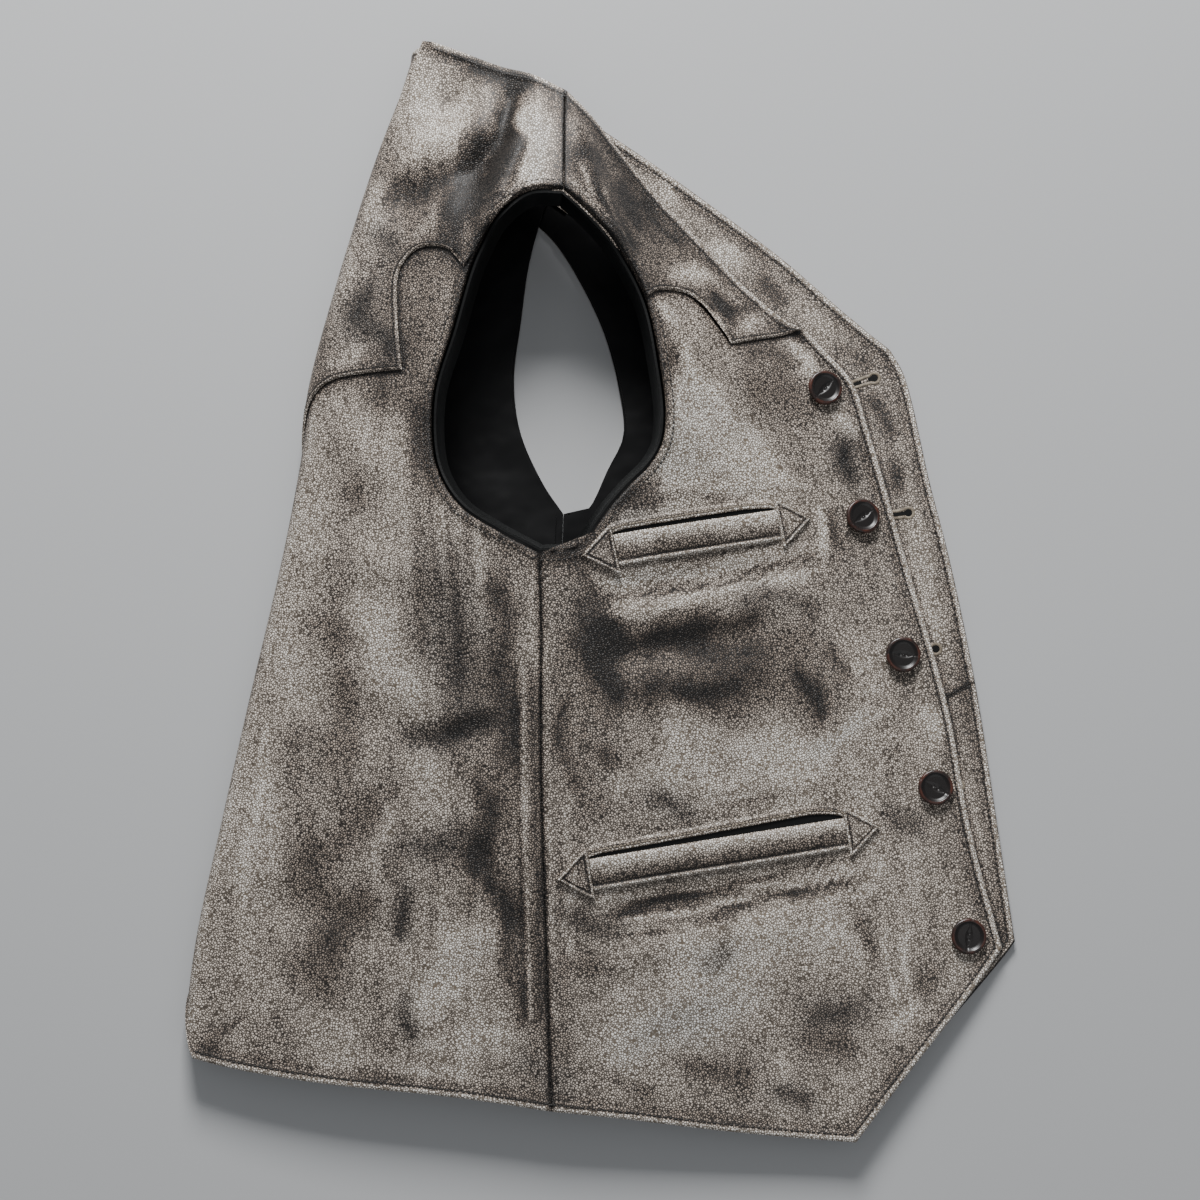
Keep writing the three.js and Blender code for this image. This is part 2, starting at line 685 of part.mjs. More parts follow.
for (const [name, pocket] of Object.entries(POCKETS)) {
  const { length, place } = pocketFrame(pocket);
  const half = WELT_HEIGHT / 2;
  const welt = [place(0, -half), place(length, -half), place(length, half), place(0, half)];
  const lay = (points, thick) => within(slab(frontGrid, onTop, LAY_GAP, LAY_GAP + thick), points);
  add(`${name}_pocket_welt`, lay(welt, WELT_THICK), leather('welt leather'));
  const tab = TAB_HEIGHT / 2;
  const leftTab = [place(-GAP, -tab), place(-GAP, tab), place(-TAB_LENGTH, 0)];
  const rightTab = [place(length + GAP, tab), place(length + GAP, -tab), place(length + TAB_LENGTH, 0)];
  const left = name === 'upper' ? tabByArmhole(place) : lay(leftTab, TAB_THICK);
  add(`${name}_pocket_tab_left`, left, leather('tab leather'));
  add(`${name}_pocket_tab_right`, lay(rightTab, TAB_THICK), leather('tab leather'));
}

// Buttons: turned discs with a dished face, a long eye-shaped slot and two
// thread holes, lying on the right front edge

function eyeShape(length, width) {
  const shape = new THREE.Shape();
  shape.moveTo(-length / 2, 0);
  shape.quadraticCurveTo(0, width, length / 2, 0);
  shape.quadraticCurveTo(0, -width, -length / 2, 0);
  return shape;
}

// Half profile of a button from the middle of its back, round the rim and
// down into the dish, in shares of its radius and its thickness
const BUTTON_PROFILE = [
  [0, 0], [0.4, 0.03], [0.8, 0.25], [1, 0.5], [1, 0.75], [0.93, 1], [0.84, 1], [0.72, 0.74], [0, 0.64],
];
const BUTTON_SIDES = 20;
const SLOT_FLOOR = 0.42;
const SLOT_SIDES = 5;
const THREAD_HOLE_SIDES = 8;

function buttonGeometry() {
  const profile = BUTTON_PROFILE.map(([r, t]) => new THREE.Vector2(r * BUTTON_RADIUS, t * BUTTON_THICK));
  const disc = new THREE.LatheGeometry(profile, BUTTON_SIDES);
  disc.rotateX(Math.PI / 2);
  const slot = new THREE.ExtrudeGeometry(eyeShape(SLOT_LENGTH, SLOT_WIDTH), {
    depth: BUTTON_THICK, bevelEnabled: false, curveSegments: SLOT_SIDES,
  });
  slot.translate(0, 0, BUTTON_THICK * SLOT_FLOOR);
  let solid = toSolid(disc).subtract(toSolid(slot));
  for (const side of [-1, 1]) {
    const hole = new THREE.CylinderGeometry(THREAD_HOLE, THREAD_HOLE, 3 * BUTTON_THICK, THREAD_HOLE_SIDES);
    hole.rotateX(Math.PI / 2).translate((side * THREAD_SPACING) / 2, 0, 0);
    solid = solid.subtract(toSolid(hole));
  }
  return toGeometry(solid);
}

// Where a flat round piece rests on a mesh: its tilt, and the lowest place
// for its centre at which its whole underside is clear. The underside is
// rounded, so a button bears on SEAT_SHARE of its radius.
const SEAT_SHARE = 0.8;
const ray = new THREE.Raycaster();
const DOWN = new THREE.Vector3(0, 0, -1);
const SKY = 200;

function facetHeight(mesh, x, y) {
  ray.set(new THREE.Vector3(x, y, SKY), DOWN);
  return ray.intersectObject(mesh)[0].point.z;
}

function seatOn(mesh, x, y, radius) {
  const slopeX = (facetHeight(mesh, x + radius, y) - facetHeight(mesh, x - radius, y)) / (2 * radius);
  const slopeY = (facetHeight(mesh, x, y + radius) - facetHeight(mesh, x, y - radius)) / (2 * radius);
  let top = facetHeight(mesh, x, y);
  for (const share of [0.5, 1]) {
    for (let k = 0; k < 12; k += 1) {
      const dx = share * radius * Math.cos((k * Math.PI) / 6);
      const dy = share * radius * Math.sin((k * Math.PI) / 6);
      top = Math.max(top, facetHeight(mesh, x + dx, y + dy) - slopeX * dx - slopeY * dy);
    }
  }
  const base = new THREE.Vector3(x, y, top + GAP);
  return { base, up: new THREE.Vector3(-slopeX, -slopeY, 1).normalize() };
}

BUTTONS.forEach(([x, y, turn], i) => {
  const mesh = add(`button_${i + 1}`, buttonGeometry(), horn());
  const { base, up } = seatOn(frontMesh, x, y, BUTTON_RADIUS * SEAT_SHARE);
  const tilt = new THREE.Quaternion().setFromUnitVectors(new THREE.Vector3(0, 0, 1), up);
  const angle = THREE.MathUtils.degToRad(turn);
  const spin = new THREE.Quaternion().setFromAxisAngle(new THREE.Vector3(0, 0, 1), angle);
  mesh.position.copy(base);
  mesh.quaternion.copy(tilt.multiply(spin));
});

// Facing of the left front: two lengths of leather with keyhole buttonholes

const inFacing = (t, v) => {
  const [ax, ay] = leftFront(0, v);
  const [bx, by] = leftFront(1, v);
  const share = FACING_WIDTH / Math.hypot(bx - ax, by - ay);
  return leftFront(1 - share * (1 - t), v);
};
const facingEdges = { left: plain, right: turned, bottom: turned, top: plain };
const facingGrid = gridOf(inFacing, facingEdges, FLAT_ROWS, 2, [SIDE_MARK, FRONT_MARK]);
const FACING_LOW = LEATHER + GAP;
const facing = wall(
  facingGrid.map((row) => row.map((p) => onFlat(p.x, p.y, -FACING_LOW - FACING_LEATHER - p.rise))),
  facingGrid.map((row) => row.map((p) => onFlat(p.x, p.y, -FACING_LOW))),
);

// Angle by which a buttonhole's eye stops short of its slit on each side
const EYE_MOUTH = 0.2;

function keyhole(x, y, turn) {
  const a = THREE.MathUtils.degToRad(turn);
  const place = (along, up) => [
    x + Math.cos(a) * along - Math.sin(a) * up,
    y + Math.sin(a) * along + Math.cos(a) * up,
  ];
  const points = [place(-HOLE_LENGTH / 2, -HOLE_SLIT / 2)];
  const mouth = Math.PI - Math.asin(HOLE_SLIT / 2 / HOLE_EYE) - EYE_MOUTH;
  for (let i = 0; i <= EYE_STEPS; i += 1) {
    const round = mouth * ((2 * i) / EYE_STEPS - 1);
    points.push(place(HOLE_LENGTH / 2 + HOLE_EYE * Math.cos(round), HOLE_EYE * Math.sin(round)));
  }
  points.push(place(-HOLE_LENGTH / 2, HOLE_SLIT / 2));
  return points;
}

let facingSolid = toSolid(facing);
for (const [x, y, turn] of BUTTONHOLES) {
  facingSolid = facingSolid.subtract(toSolid(prism(keyhole(x, y, turn), BELOW, ABOVE)));
}
function facingPiece(low, high) {
  const across = [[PLAN_LEFT, low], [PLAN_RIGHT, low], [PLAN_RIGHT, high], [PLAN_LEFT, high]];
  return toGeometry(facingSolid.intersect(toSolid(prism(across, BELOW, ABOVE))));
}
add('left_facing_upper', facingPiece(FACING_SEAM_Y + GAP / 2, PLAN_TOP), leather('facing leather'));
add('left_facing_lower', facingPiece(PLAN_BOTTOM, FACING_SEAM_Y - GAP / 2), leather('facing leather'));

// Lining of the left half, a little short of the leather's edges. The right
// half's lining doesn't show and isn't built.

const LINING_EDGE = 0.03;
const LINING_FOLD = 0.01;
const LINING_SIDE = 0.92;
const LINING_HIGH = -(LEATHER + GAP + LINING);
const LINING_LOW = -(LEATHER + GAP);
const lining = (places) => slab(places, onFlat, LINING_HIGH, LINING_LOW);
const liningRows = evenly(LINING_EDGE, 1 - LINING_EDGE, 9, SIDE_MARK);
const backLiningStops = evenly(LINING_FOLD, LINING_SIDE, 4, NECK_MARK);
add('back_lining', lining(placesOf(backLower, liningRows, backLiningStops)), blackCloth());

// Row of places beside the facing: t runs from the side to the facing
const besideFacing = (t, v) => {
  const [ax, ay] = leftFront(0, v);
  const [bx, by] = leftFront(1, v);
  const width = Math.hypot(bx - ax, by - ay);
  return leftFront(((width - FACING_WIDTH - GAP) / width) * t, v);
};
const besideRows = stops(PANEL_LENGTH, FLAT_ROWS, [SIDE_MARK, FRONT_MARK]).slice(3, -3);
const frontLining = placesOf(besideFacing, besideRows, evenly(LINING_EDGE, 1, 4, 0.5));
add('left_front_lining', lining(frontLining), blackCloth());

// Band facing the right armhole: a ring that turns down inside the edge

const HOLE_CENTRE = [-32, 122];
const rimOf = (vs, cells) => cells.filter((_, i) => vs[i] > SIDE_MARK).slice(0, -1);
const backRim = rimOf(rowStops, backGrid.map((row) => row[row.length - 1]));
const frontStops = stops(PANEL_LENGTH, FRONT_ROWS, [SIDE_MARK, FRONT_MARK]);
const frontRim = rimOf(frontStops, frontGrid.map((row) => row[0]));
const rim = [...backRim, ...frontRim.reverse()];

function bandSection(p, i) {
  const before = rim[(i + rim.length - 1) % rim.length];
  const after = rim[(i + 1) % rim.length];
  const dx = after.x - before.x;
  const dy = after.y - before.y;
  const length = Math.hypot(dx, dy);
  let [nx, ny] = [-dy / length, dx / length];
  if (nx * (HOLE_CENTRE[0] - p.x) + ny * (HOLE_CENTRE[1] - p.y) < 0) [nx, ny] = [-nx, -ny];
  const under = onTop(p.x, p.y, -LEATHER);
  const over = onTop(p.x, p.y, LIP_RISE);
  const reach = (q) => nx * (q.x - p.x) + ny * (q.y - p.y);
  const clear = Math.max(reach(under), reach(over), 0) + BAND_GAP;
  const at = (inward, drop) => new THREE.Vector3(
    p.x + nx * (clear + inward), p.y + ny * (clear + inward), height(p.x, p.y) - drop,
  );
  const side = (start) => BAND_STEPS.map((t) => at(start + BAND_LEAN * t * t, BAND_DROP * t));
  return { outer: side(BAND_THICK), inner: side(0) };
}

const bandRows = rim.map(bandSection);
const band = wall(bandRows.map((r) => r.outer), bandRows.map((r) => r.inner), true);
add('right_armhole_band', band, blackLeather());

export default group;
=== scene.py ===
"""Distressed leather vest, folded down the centre back and laid on its left side.

The right half is the upper layer with its leather up. The left half lies flat
under it with its facing, buttonholes and black lining up. Tables are in
millimetres, in the garment's own plan: x from the fold to the front edges,
y from the hem to the neck, z up from the floor.

Not all tables were written by hand. A program printed many points of the outlines
and most rows of the crease, rubs and highlights, stains and shade, and cool
tables in millimetres, from points and strokes read off the photo.
"""
import math

import bpy
import numpy as np
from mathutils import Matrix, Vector


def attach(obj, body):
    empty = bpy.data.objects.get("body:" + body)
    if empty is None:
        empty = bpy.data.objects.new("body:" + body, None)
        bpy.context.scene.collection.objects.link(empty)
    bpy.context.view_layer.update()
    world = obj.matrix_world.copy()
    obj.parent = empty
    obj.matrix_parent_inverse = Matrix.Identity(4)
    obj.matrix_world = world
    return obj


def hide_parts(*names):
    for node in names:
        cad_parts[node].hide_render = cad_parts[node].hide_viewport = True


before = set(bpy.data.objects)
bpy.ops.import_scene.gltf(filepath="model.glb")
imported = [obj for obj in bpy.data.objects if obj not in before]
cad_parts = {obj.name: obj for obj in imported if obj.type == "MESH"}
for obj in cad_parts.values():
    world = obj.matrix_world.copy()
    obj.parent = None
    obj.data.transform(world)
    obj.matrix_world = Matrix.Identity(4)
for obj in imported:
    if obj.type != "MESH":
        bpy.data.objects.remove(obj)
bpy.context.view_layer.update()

MM = 0.001
CENTRE = np.array([1.26, 8.515, 0.0])

# Wall thicknesses and layers
LEATHER = 1.8
YOKE_LEATHER = 1.4
FACING_LEATHER = 1.4
LINING = 0.9
GAP = 0.3
LAY_GAP = 0.5
SEAM_BACK = GAP / 2

# Turned, topstitched edge: width of the band, its rise, and the stitch line
LIP_WIDTH = 5.2
LIP_RISE = 0.75
STITCH_LINE = 4.0
STITCH_PITCH = 3.2
LIP_FALL = 2.6
LIP_FALL_PAST = 1.6
EDGE_ROUND = 1.1
CORNER_DROP = 1.1
GROOVE_DEPTH = 0.45
GROOVE_WIDTH = 0.55
SEAM_DIP = 1.0
SEAM_WIDTH = 3.0

# Cross sections of the upper layer from hem to neck
SECTION_COLUMNS = ("y", "foldX", "foldZ", "foldRise", "ridgeX", "ridgeZ", "edgeX", "edgeZ")
SECTIONS = np.array([
    (-330, -236, 17, 0.06, -27, 20, 140, 16),
    (-277, -235, 18, 0.08, -28, 25, 184, 13),
    (-207, -229, 19, 0.12, -31, 33, 236, 7),
    (-130, -213, 22, 0.18, -33, 44, 217, 6.5),
    (-60, -198, 24, 0.24, -34, 53, 206, 6.5),
    (20, -180, 27, 0.30, -34, 64, 184, 6.5),
    (80, -169, 29, 0.34, -31, 70, 167, 7),
    (130, -162, 30, 0.36, -28, 74, 152, 8),
    (190, -146, 32, 0.36, -25, 78, 92, 16),
    (231, -134, 32, 0.34, -22, 78, 46, 27),
    (270, -122, 31, 0.28, -22, 66, 16, 37),
    (300, -112, 30, 0.22, -24, 49, -2, 42),
    (345, -98, 29, 0.14, -30, 36, -16, 36),
], float)

# Largest folds, by x0, y0, x1, y1, half width, height (negative for a trough)
FOLDS = (
    (-44, 290, -66, 210, 8, 4.0),
    (-56, 285, -74, 232, 11, -7.0),
    (-14, 282, 12, 200, 8, 2.5),
    (8, 276, 34, 214, 10, -2.5),
    (-90, 300, -78, 262, 12, -3.0),
    (8, -2, 112, 16, 9, -1.8),
    (6, -22, 122, -2, 9, 1.6),
    (0, -40, 96, -22, 10, -1.6),
    (-2, -192, 142, -166, 9, -1.8),
    (4, -214, 120, -192, 10, 1.6),
    (-48, -250, -50, -20, 6, -1.6),
    (-16, -250, -18, -20, 6, -1.4),
    (-196, -180, -120, -196, 12, -1.8),
    (-176, -60, -100, -84, 13, -2.0),
    (-160, 20, -98, 8, 12, 1.8),
    (148, 96, 176, 10, 9, -1.6),
    (172, -40, 196, -110, 9, -1.5),
    (96, 140, 60, 84, 12, 1.6),
)

# Smaller creases between the large folds, in the same columns
CREASES = (
    (-43, 293, -49, 256, 4.6, 3.8), (-49, 256, -58, 229, 4.6, 3.2), (-58, 229, -66, 213, 4.1, 1.8),
    (-52, 296, -54, 265, 8, -6), (-120, 259, -79, 274, 15, 3), (-79, 274, -60, 284, 12, 2.4),
    (-116, 236, -78, 249, 13, -4), (-78, 249, -61, 262, 10, -3.6), (-15, 279, 2, 228, 4.6, 1.8),
    (2, 228, 9, 209, 4.1, 1.2), (-3, 260, 21, 204, 8, -2.6), (38, 172, 45, 145, 4.6, 1.1),
    (48, 148, 66, 108, 4.6, 1.1), (42, 141, 58, 101, 5, -1.1), (10, 53, 101, 67, 2.3, 0.55),
    (101, 67, 127, 67, 2.3, 0.6), (127, 67, 138, 22, 2.9, 0.85), (-12, -20, 70, -5, 2.9, 0.55),
    (70, -5, 140, 4, 2.9, 0.5), (0, -27, 70, -12, 4.6, -0.6), (167, -182, 172, -243, 2.3, 0.55),
    (176, -182, 183, -237, 2.3, 0.5), (0, -186, 70, -170, 4.1, -0.75),
    (70, -170, 153, -157, 3.5, -0.6), (0, -196, 81, -182, 4.1, 0.55),
    (35, -118, 144, -109, 2.9, 0.45), (0, 9, 58, 18, 4.1, 0.55), (7, 0, 94, 17, 3.5, -0.55),
    (23, -7, 131, 13, 3.5, 0.5), (-126, -116, -127, -196, 2.9, 0.6),
    (-114, -173, -112, -199, 4.6, -1.2), (-69, -150, -49, -196, 7, -1.8),
    (-59, -156, -43, -236, 4.6, 0.9), (-136, -129, -177, -171, 12, -1),
    (-169, -121, -192, -167, 10, 0.8), (-91, 2, -81, -54, 15, -1.2), (-108, -89, -65, -80, 8, -1.2),
    (-104, -77, -63, -68, 7, 0.9), (-221, -254, -206, -246, 2.9, -1.1),
    (-219, -248, -209, -241, 2.9, 0.7), (-98, -213, -69, -202, 10, 1),
    (-140, -17, -157, -75, 9, 0.9), (23, -242, 93, -213, 15, 1.2), (58, -279, 128, -260, 12, -1),
    (23, -35, 94, -27, 10, -1.2), (12, -59, 94, -46, 9, 0.8), (118, -26, 133, -71, 7, -1.3),
    (142, -38, 159, -79, 7, 1), (157, 96, 161, 60, 6, -1.3), (115, 156, 130, 137, 4.1, 1.3),
    (121, 163, 124, 143, 2.9, -1), (-94, 213, -77, 264, 7, 1), (-149, 176, -136, 138, 9, -1),
    (-160, 104, -129, 71, 13, 0.9), (-105, 99, -95, 51, 7, -1), (35, 99, 83, 73, 14, 1.4),
)

# Fields of fine drag lines beside the pockets: x0, y0, x1, y1, half width, strength
DRAG_SLOPE = 0.19
DRAGS = (
    (0, -4, 128, 20, 15, 1.0), (0, -190, 158, -164, 14, 1.0), (40, 56, 120, 70, 7, 0.6),
    (10, -140, 140, -116, 10, 0.5), (-52, 300, -64, 226, 9, 0.6), (150, -30, 176, -100, 9, 0.4),
)

# Plan outlines of the right half, from hem to neck or from fold to front edge
SIDE_SEAM = ((-28, -300), (-31, -209), (-34, -104), (-34, -16), (-35, 19))
BACK_ARMHOLE = ((-35, 19), (-59, 32), (-82, 48), (-96, 72), (-98, 113), (-87, 151),
                (-73, 196), (-58, 219), (-42, 231), (-21, 231))
FRONT_ARMHOLE = ((-35, 19), (-20, 20), (-9, 25), (-1, 36), (6, 46), (16, 58), (30, 73),
                 (37, 86), (39, 104), (36, 131), (28, 170), (14, 197), (-2, 215), (-21, 231))
SHOULDER_SEAM = ((-21, 231), (-21, 265), (-21, 299))
BACK_NECK = ((-98, 335), (-86, 330), (-59, 317), (-41, 311), (-21, 299))
BACK_HEM = ((-236, -270), (-211, -276), (-161, -284), (-92, -291), (-61, -295), (-28, -300))
FRONT_HEM = ((-28, -300), (11, -304), (69, -311), (110, -315), (148, -318))
HEM_POINT = ((148, -318), (179, -279), (220, -229), (236, -207))
FRONT_EDGE = ((236, -207), (219, -138), (207, -66), (185, 17), (163, 98), (152, 132), (137, 149))
FRONT_NECK = ((137, 149), (122, 164), (112, 168), (90, 185), (64, 210), (38, 236),
              (12, 264), (-21, 299))

# Outlines of the left half, which lies flat
LEFT_SIDE_SEAM = ((-24, -299), (-26, -180), (-26, -60), (-22, 52))
LEFT_BACK_ARMHOLE = ((-22, 52), (-34, 70), (-48, 102), (-52, 134), (-48, 170),
                     (-43, 208), (-38, 230))
LEFT_FRONT_ARMHOLE = ((-22, 52), (-10, 52), (5, 80), (14, 100), (11, 130), (2, 164),
                      (-14, 198), (-28, 220), (-38, 230))
LEFT_SHOULDER = ((-38, 230), (-24, 266), (-10, 298))
LEFT_BACK_NECK = ((-90, 335), (-66, 325), (-36, 311), (-10, 298))
LEFT_BACK_HEM = ((-222, -271), (-190, -277), (-120, -287), (-24, -299))
LEFT_FRONT_HEM = ((-24, -299), (60, -306), (146, -315))
LEFT_HEM_POINT = ((146, -315), (190, -266), (238, -211), (244, -203))
LEFT_FRONT_EDGE = ((244, -203), (234, -126), (224, -53), (209, 27), (198, 73),
                   (184, 137), (176, 152))
LEFT_FRONT_NECK = ((176, 152), (151, 173), (112, 208), (71, 240), (32, 269), (-10, 298))

# The hem's edge runs up round the roll at the fold by these heights
HEM_LIFT_AT_EDGE = 34
HEM_LIFT_UNDER = 6
HEM_LIFT_FADE = 9

# Yoke edges, from the fold or armhole to the neck
BACK_YOKE_EDGE = ((-200, 68), (-188, 93), (-178, 112), (-160, 127), (-137, 130), (-116, 130))
BACK_YOKE_ARCH = ((-116, 130), (-119, 159), (-119, 189), (-114, 198), (-107, 203),
                  (-96, 203), (-86, 198), (-79, 188))
BACK_YOKE_HOLE = ((-79, 188), (-73, 196), (-58, 219), (-42, 231), (-21.15, 231))
BACK_YOKE_NECK = ((-107, 338), *BACK_NECK)
FRONT_YOKE_ARCH = ((27, 172), (33, 177), (43, 179), (53, 178), (64, 170), (70, 163), (78, 150))
FRONT_YOKE_EDGE = ((78, 150), (95, 155), (114, 160), (122.5, 164))
FRONT_YOKE_HOLE = ((27, 172), (14, 197), (-2, 215), (-20.85, 231))
FRONT_YOKE_NECK = ((122.5, 164), (112, 168), (90, 185), (64, 210), (38, 236), (12, 264),
                   (-20.85, 299))

# Fold side of the back yoke: its heights, how far round the fold it starts, and its lean
BACK_YOKE_LOW = 68
BACK_YOKE_HIGH = 335
BACK_YOKE_UNDER = 34
BACK_YOKE_LEAN = 8

# Pockets: centre line of the welt from its left to its right end
WELT_HEIGHT = 17
POCKETS = {"upper": (9, 22, 105, 42.4), "lower": (-5, -164, 144, -139.5)}
POCKET_GAPES = {"upper": 1.0, "lower": 3.4}
TAB_HEIGHT = 30
TAB_LENGTH = 20.5

# Buttons: x, y, turn of the slot in degrees
BUTTONS = ((135, 127, 45), (157, 49, 35), (180, -34, -5), (198, -113, -30), (216, -200, 80))
BUTTON_RADIUS = 10.4
BUTTON_THICK = 3.6
DISH_AT = (0, 0.64, 0.74, 0.84, 0.93, 0.985, 1.0)
DISH_HEIGHT = (0.62, 0.66, 0.78, 0.99, 0.97, 0.84, 0.72)
EYE_HALF_LENGTH = 6.4
EYE_HALF_WIDTH = 2.0
EYE_DEPTH = 0.34
THREAD_HOLE_OFFSET = 1.7
THREAD_HOLE_DEPTH = 0.4

# Left facing and its keyhole buttonholes: x, y, turn in degrees
FACING_WIDTH = 56
FACING_SEAM_Y = -63
BUTTONHOLES = ((157, 132, 18), (176, 51, 8), (191, -30, 0), (203, -111, -4), (214, -191, -8))
HOLE_LENGTH = 19
HOLE_SLIT = 1.6
HOLE_EYE = 2.2

# Black leather band inside the right armhole
BAND_DROP = 13
BAND_THICK = 1.4
BAND_GAP = 1.3
BAND_LEAN = 4
HOLE_CENTRE = np.array([-32.0, 122.0])

# Shares of a panel's edge
SIDE_MARK = 0.52
NECK_MARK = 0.62
HEM_MARK = 0.56
FRONT_MARK = 0.6
BACK_YOKE_MARK = 0.62
FRONT_YOKE_MARK = 0.58
PANEL_LENGTH = 560
FADE = 4
FOLD_Y = ((0, SIDE_MARK, 1), (-270, 36, 335))

# Steps of the grids, and stops beside a turned edge and a plain one, in mm from it
PANEL_STEP = 2.6
LEFT_STEP = 9
YOKE_STEP = 2.4
FACING_STEP = 1.8
EDGE_STEPS = np.array([0, 0.25, 0.6, 1.0, 1.6, 2.4, 3.2, 3.7, 4.0, 4.3, 4.8, 5.4, 6.4, 8.0, 10.0])
NO_EDGE = np.array([0, 1.0, 3.0])
ROLL_STEPS = 22
FLAT_STOPS = np.array([0, 0.25, 0.5, NECK_MARK, 0.8, 1])
SPAN_STEPS = 60
KEYHOLE_POINTS = 18

# Soft strokes: share of their length, from the middle, at full strength, and fade in half widths
STROKE_FULL = 0.35
STROKE_END = 1.6
FOLD_CALM = 15
DRAG_HEIGHT = 0.22

# Wear and painted light: a distance with no effect, the pale rim, and the strength and waviness of
# the strokes, whose rubs include painted highlights and whose stains include painted shade
FAR = 99.0
RIM_WIDTH = 2.6
RIM_FADE = 0.28
RUB_AND_HIGHLIGHT_DEPTH = 1.6
STAIN_AND_SHADE_DEPTH = 1.45
SWEEP = 3.0
PEBBLE = 1.4 * MM

# Open width of a pocket's mouth: least, added, and where it opens and closes along the welt
MOUTH_MIN = 0.6
MOUTH_OPEN = 1.5
MOUTH_OPENS = 8
MOUTH_CLOSES = 20

# Stitch lines: from a yoke's edge, above a pocket's mouth and above the welt's lower edge
YOKE_STITCH_LINE = 2.2
LIP_STITCH_LINE = 2.4
WELT_STITCH_LINE = 1.7

# Heights of stitches, and the samples where the neck and armhole edges pass under the yokes
SUNK = 0.42
YOKE_TOP = LAY_GAP + YOKE_LEATHER
NECK_AT_YOKE = 70
BACK_HOLE_AT_YOKE = 215
FRONT_HOLE_AT_YOKE = 225


# Curves and tables

def hermite(t, width, z0, z1, slope0, slope1):
    """Cubic over a span of the given width between two heights with two slopes."""
    rise = t * t * (3 - 2 * t)
    return z0 + (z1 - z0) * rise + width * (slope0 * t * (1 - t) ** 2 + slope1 * t * t * (t - 1))


def bell(d, width, centre=0.0):
    """Soft bump of height 1 at the given centre."""
    return np.exp(-((d - centre) / width) ** 2)


def rounded(d, radius=EDGE_ROUND):
    """From 1 at an edge to 0 at the radius, as a rounded corner drops."""
    return np.clip(1 - d / radius, 0, 1) ** 2


def smooth(xs, ys):
    """Cubic through (x, y) pairs, each slope being that between its neighbours."""
    xs, ys = np.asarray(xs, float), np.asarray(ys, float)
    last = len(xs) - 1
    before = np.maximum(np.arange(last + 1) - 1, 0)
    after = np.minimum(np.arange(last + 1) + 1, last)
    slope = (ys[after] - ys[before]) / (xs[after] - xs[before])

    def curve(x):
        k = np.clip(np.searchsorted(xs, x) - 1, 0, last - 1)
        width = xs[k + 1] - xs[k]
        t = np.clip((x - xs[k]) / width, 0, 1)
        return hermite(t, width, ys[k], ys[k + 1], slope[k], slope[k + 1])
    return curve


def outline(points):
    """Centripetal Catmull-Rom curve through plan points, walked by arc length from 0 to 1."""
    p = np.array(points, float)
    q = np.vstack([2 * p[0] - p[1], p, 2 * p[-1] - p[-2]])
    step = np.linalg.norm(np.diff(q, axis=0), axis=1)[:, None] ** 0.5
    d0, d1, d2 = step[:-2], step[1:-1], step[2:]
    a, b, c, d = q[:-3], q[1:-2], q[2:-1], q[3:]
    leave = ((b - a) / d0 - (c - a) / (d0 + d1) + (c - b) / d1) * d1
    arrive = ((c - b) / d1 - (d - b) / (d1 + d2) + (d - c) / d2) * d1
    t = np.linspace(0, 1, SPAN_STEPS + 1)[:, None, None]
    spans = hermite(t, 1, b, c, leave, arrive)
    path = np.vstack([spans[:-1].transpose(1, 0, 2).reshape(-1, 2), p[-1:]])
    walked = np.concatenate([[0], np.cumsum(np.linalg.norm(np.diff(path, axis=0), axis=1))])

    def curve(t):
        at = np.clip(t, 0, 1) * walked[-1]
        return np.stack([np.interp(at, walked, path[:, 0]), np.interp(at, walked, path[:, 1])], -1)
    return curve


def chain(parts, marks):
    """Several outlines end to end, each taking the stretch up to its own mark."""
    curves = [outline(part) for part in parts]
    starts = [0, *marks[:-1]]

    def curve(t):
        t = np.asarray(t, float)
        result = curves[0]((t - starts[0]) / (marks[0] - starts[0]))
        for follow, low, high in zip(curves[1:], starts[1:], marks[1:]):
            result = np.where(t[..., None] > low, follow((t - low) / (high - low)), result)
        return result
    return curve


def shifted(curve, dx):
    """The curve moved along x."""
    return lambda t: curve(t) + np.array([dx, 0.0])


def turned_round(curve):
    """The curve walked from its other end."""
    return lambda t: curve(1 - np.asarray(t, float))


def samples(curve, count=300):
    """Evenly spaced points along a curve."""
    return curve(np.linspace(0, 1, count))


# Shape of the garment

section = {name: smooth(SECTIONS[:, 0], SECTIONS[:, k])
           for k, name in enumerate(SECTION_COLUMNS) if k}
fold_y = smooth(*FOLD_Y)


def strokes(rows, x, y):
    """Sum of soft strokes: a bell across the line from (x0, y0) to (x1, y1), dying at its ends."""
    total = np.zeros(np.broadcast(x, y).shape)
    for x0, y0, x1, y1, width, amount in rows:
        dx, dy = x1 - x0, y1 - y0
        length = math.hypot(dx, dy)
        along = ((x - x0) * dx + (y - y0) * dy) / length ** 2
        across = ((x - x0) * dy - (y - y0) * dx) / length
        past = np.maximum(np.abs(along - 0.5) - STROKE_FULL, 0) * length
        total += amount * np.exp(-(across / width) ** 2 - (past / (STROKE_END * width)) ** 2)
    return total


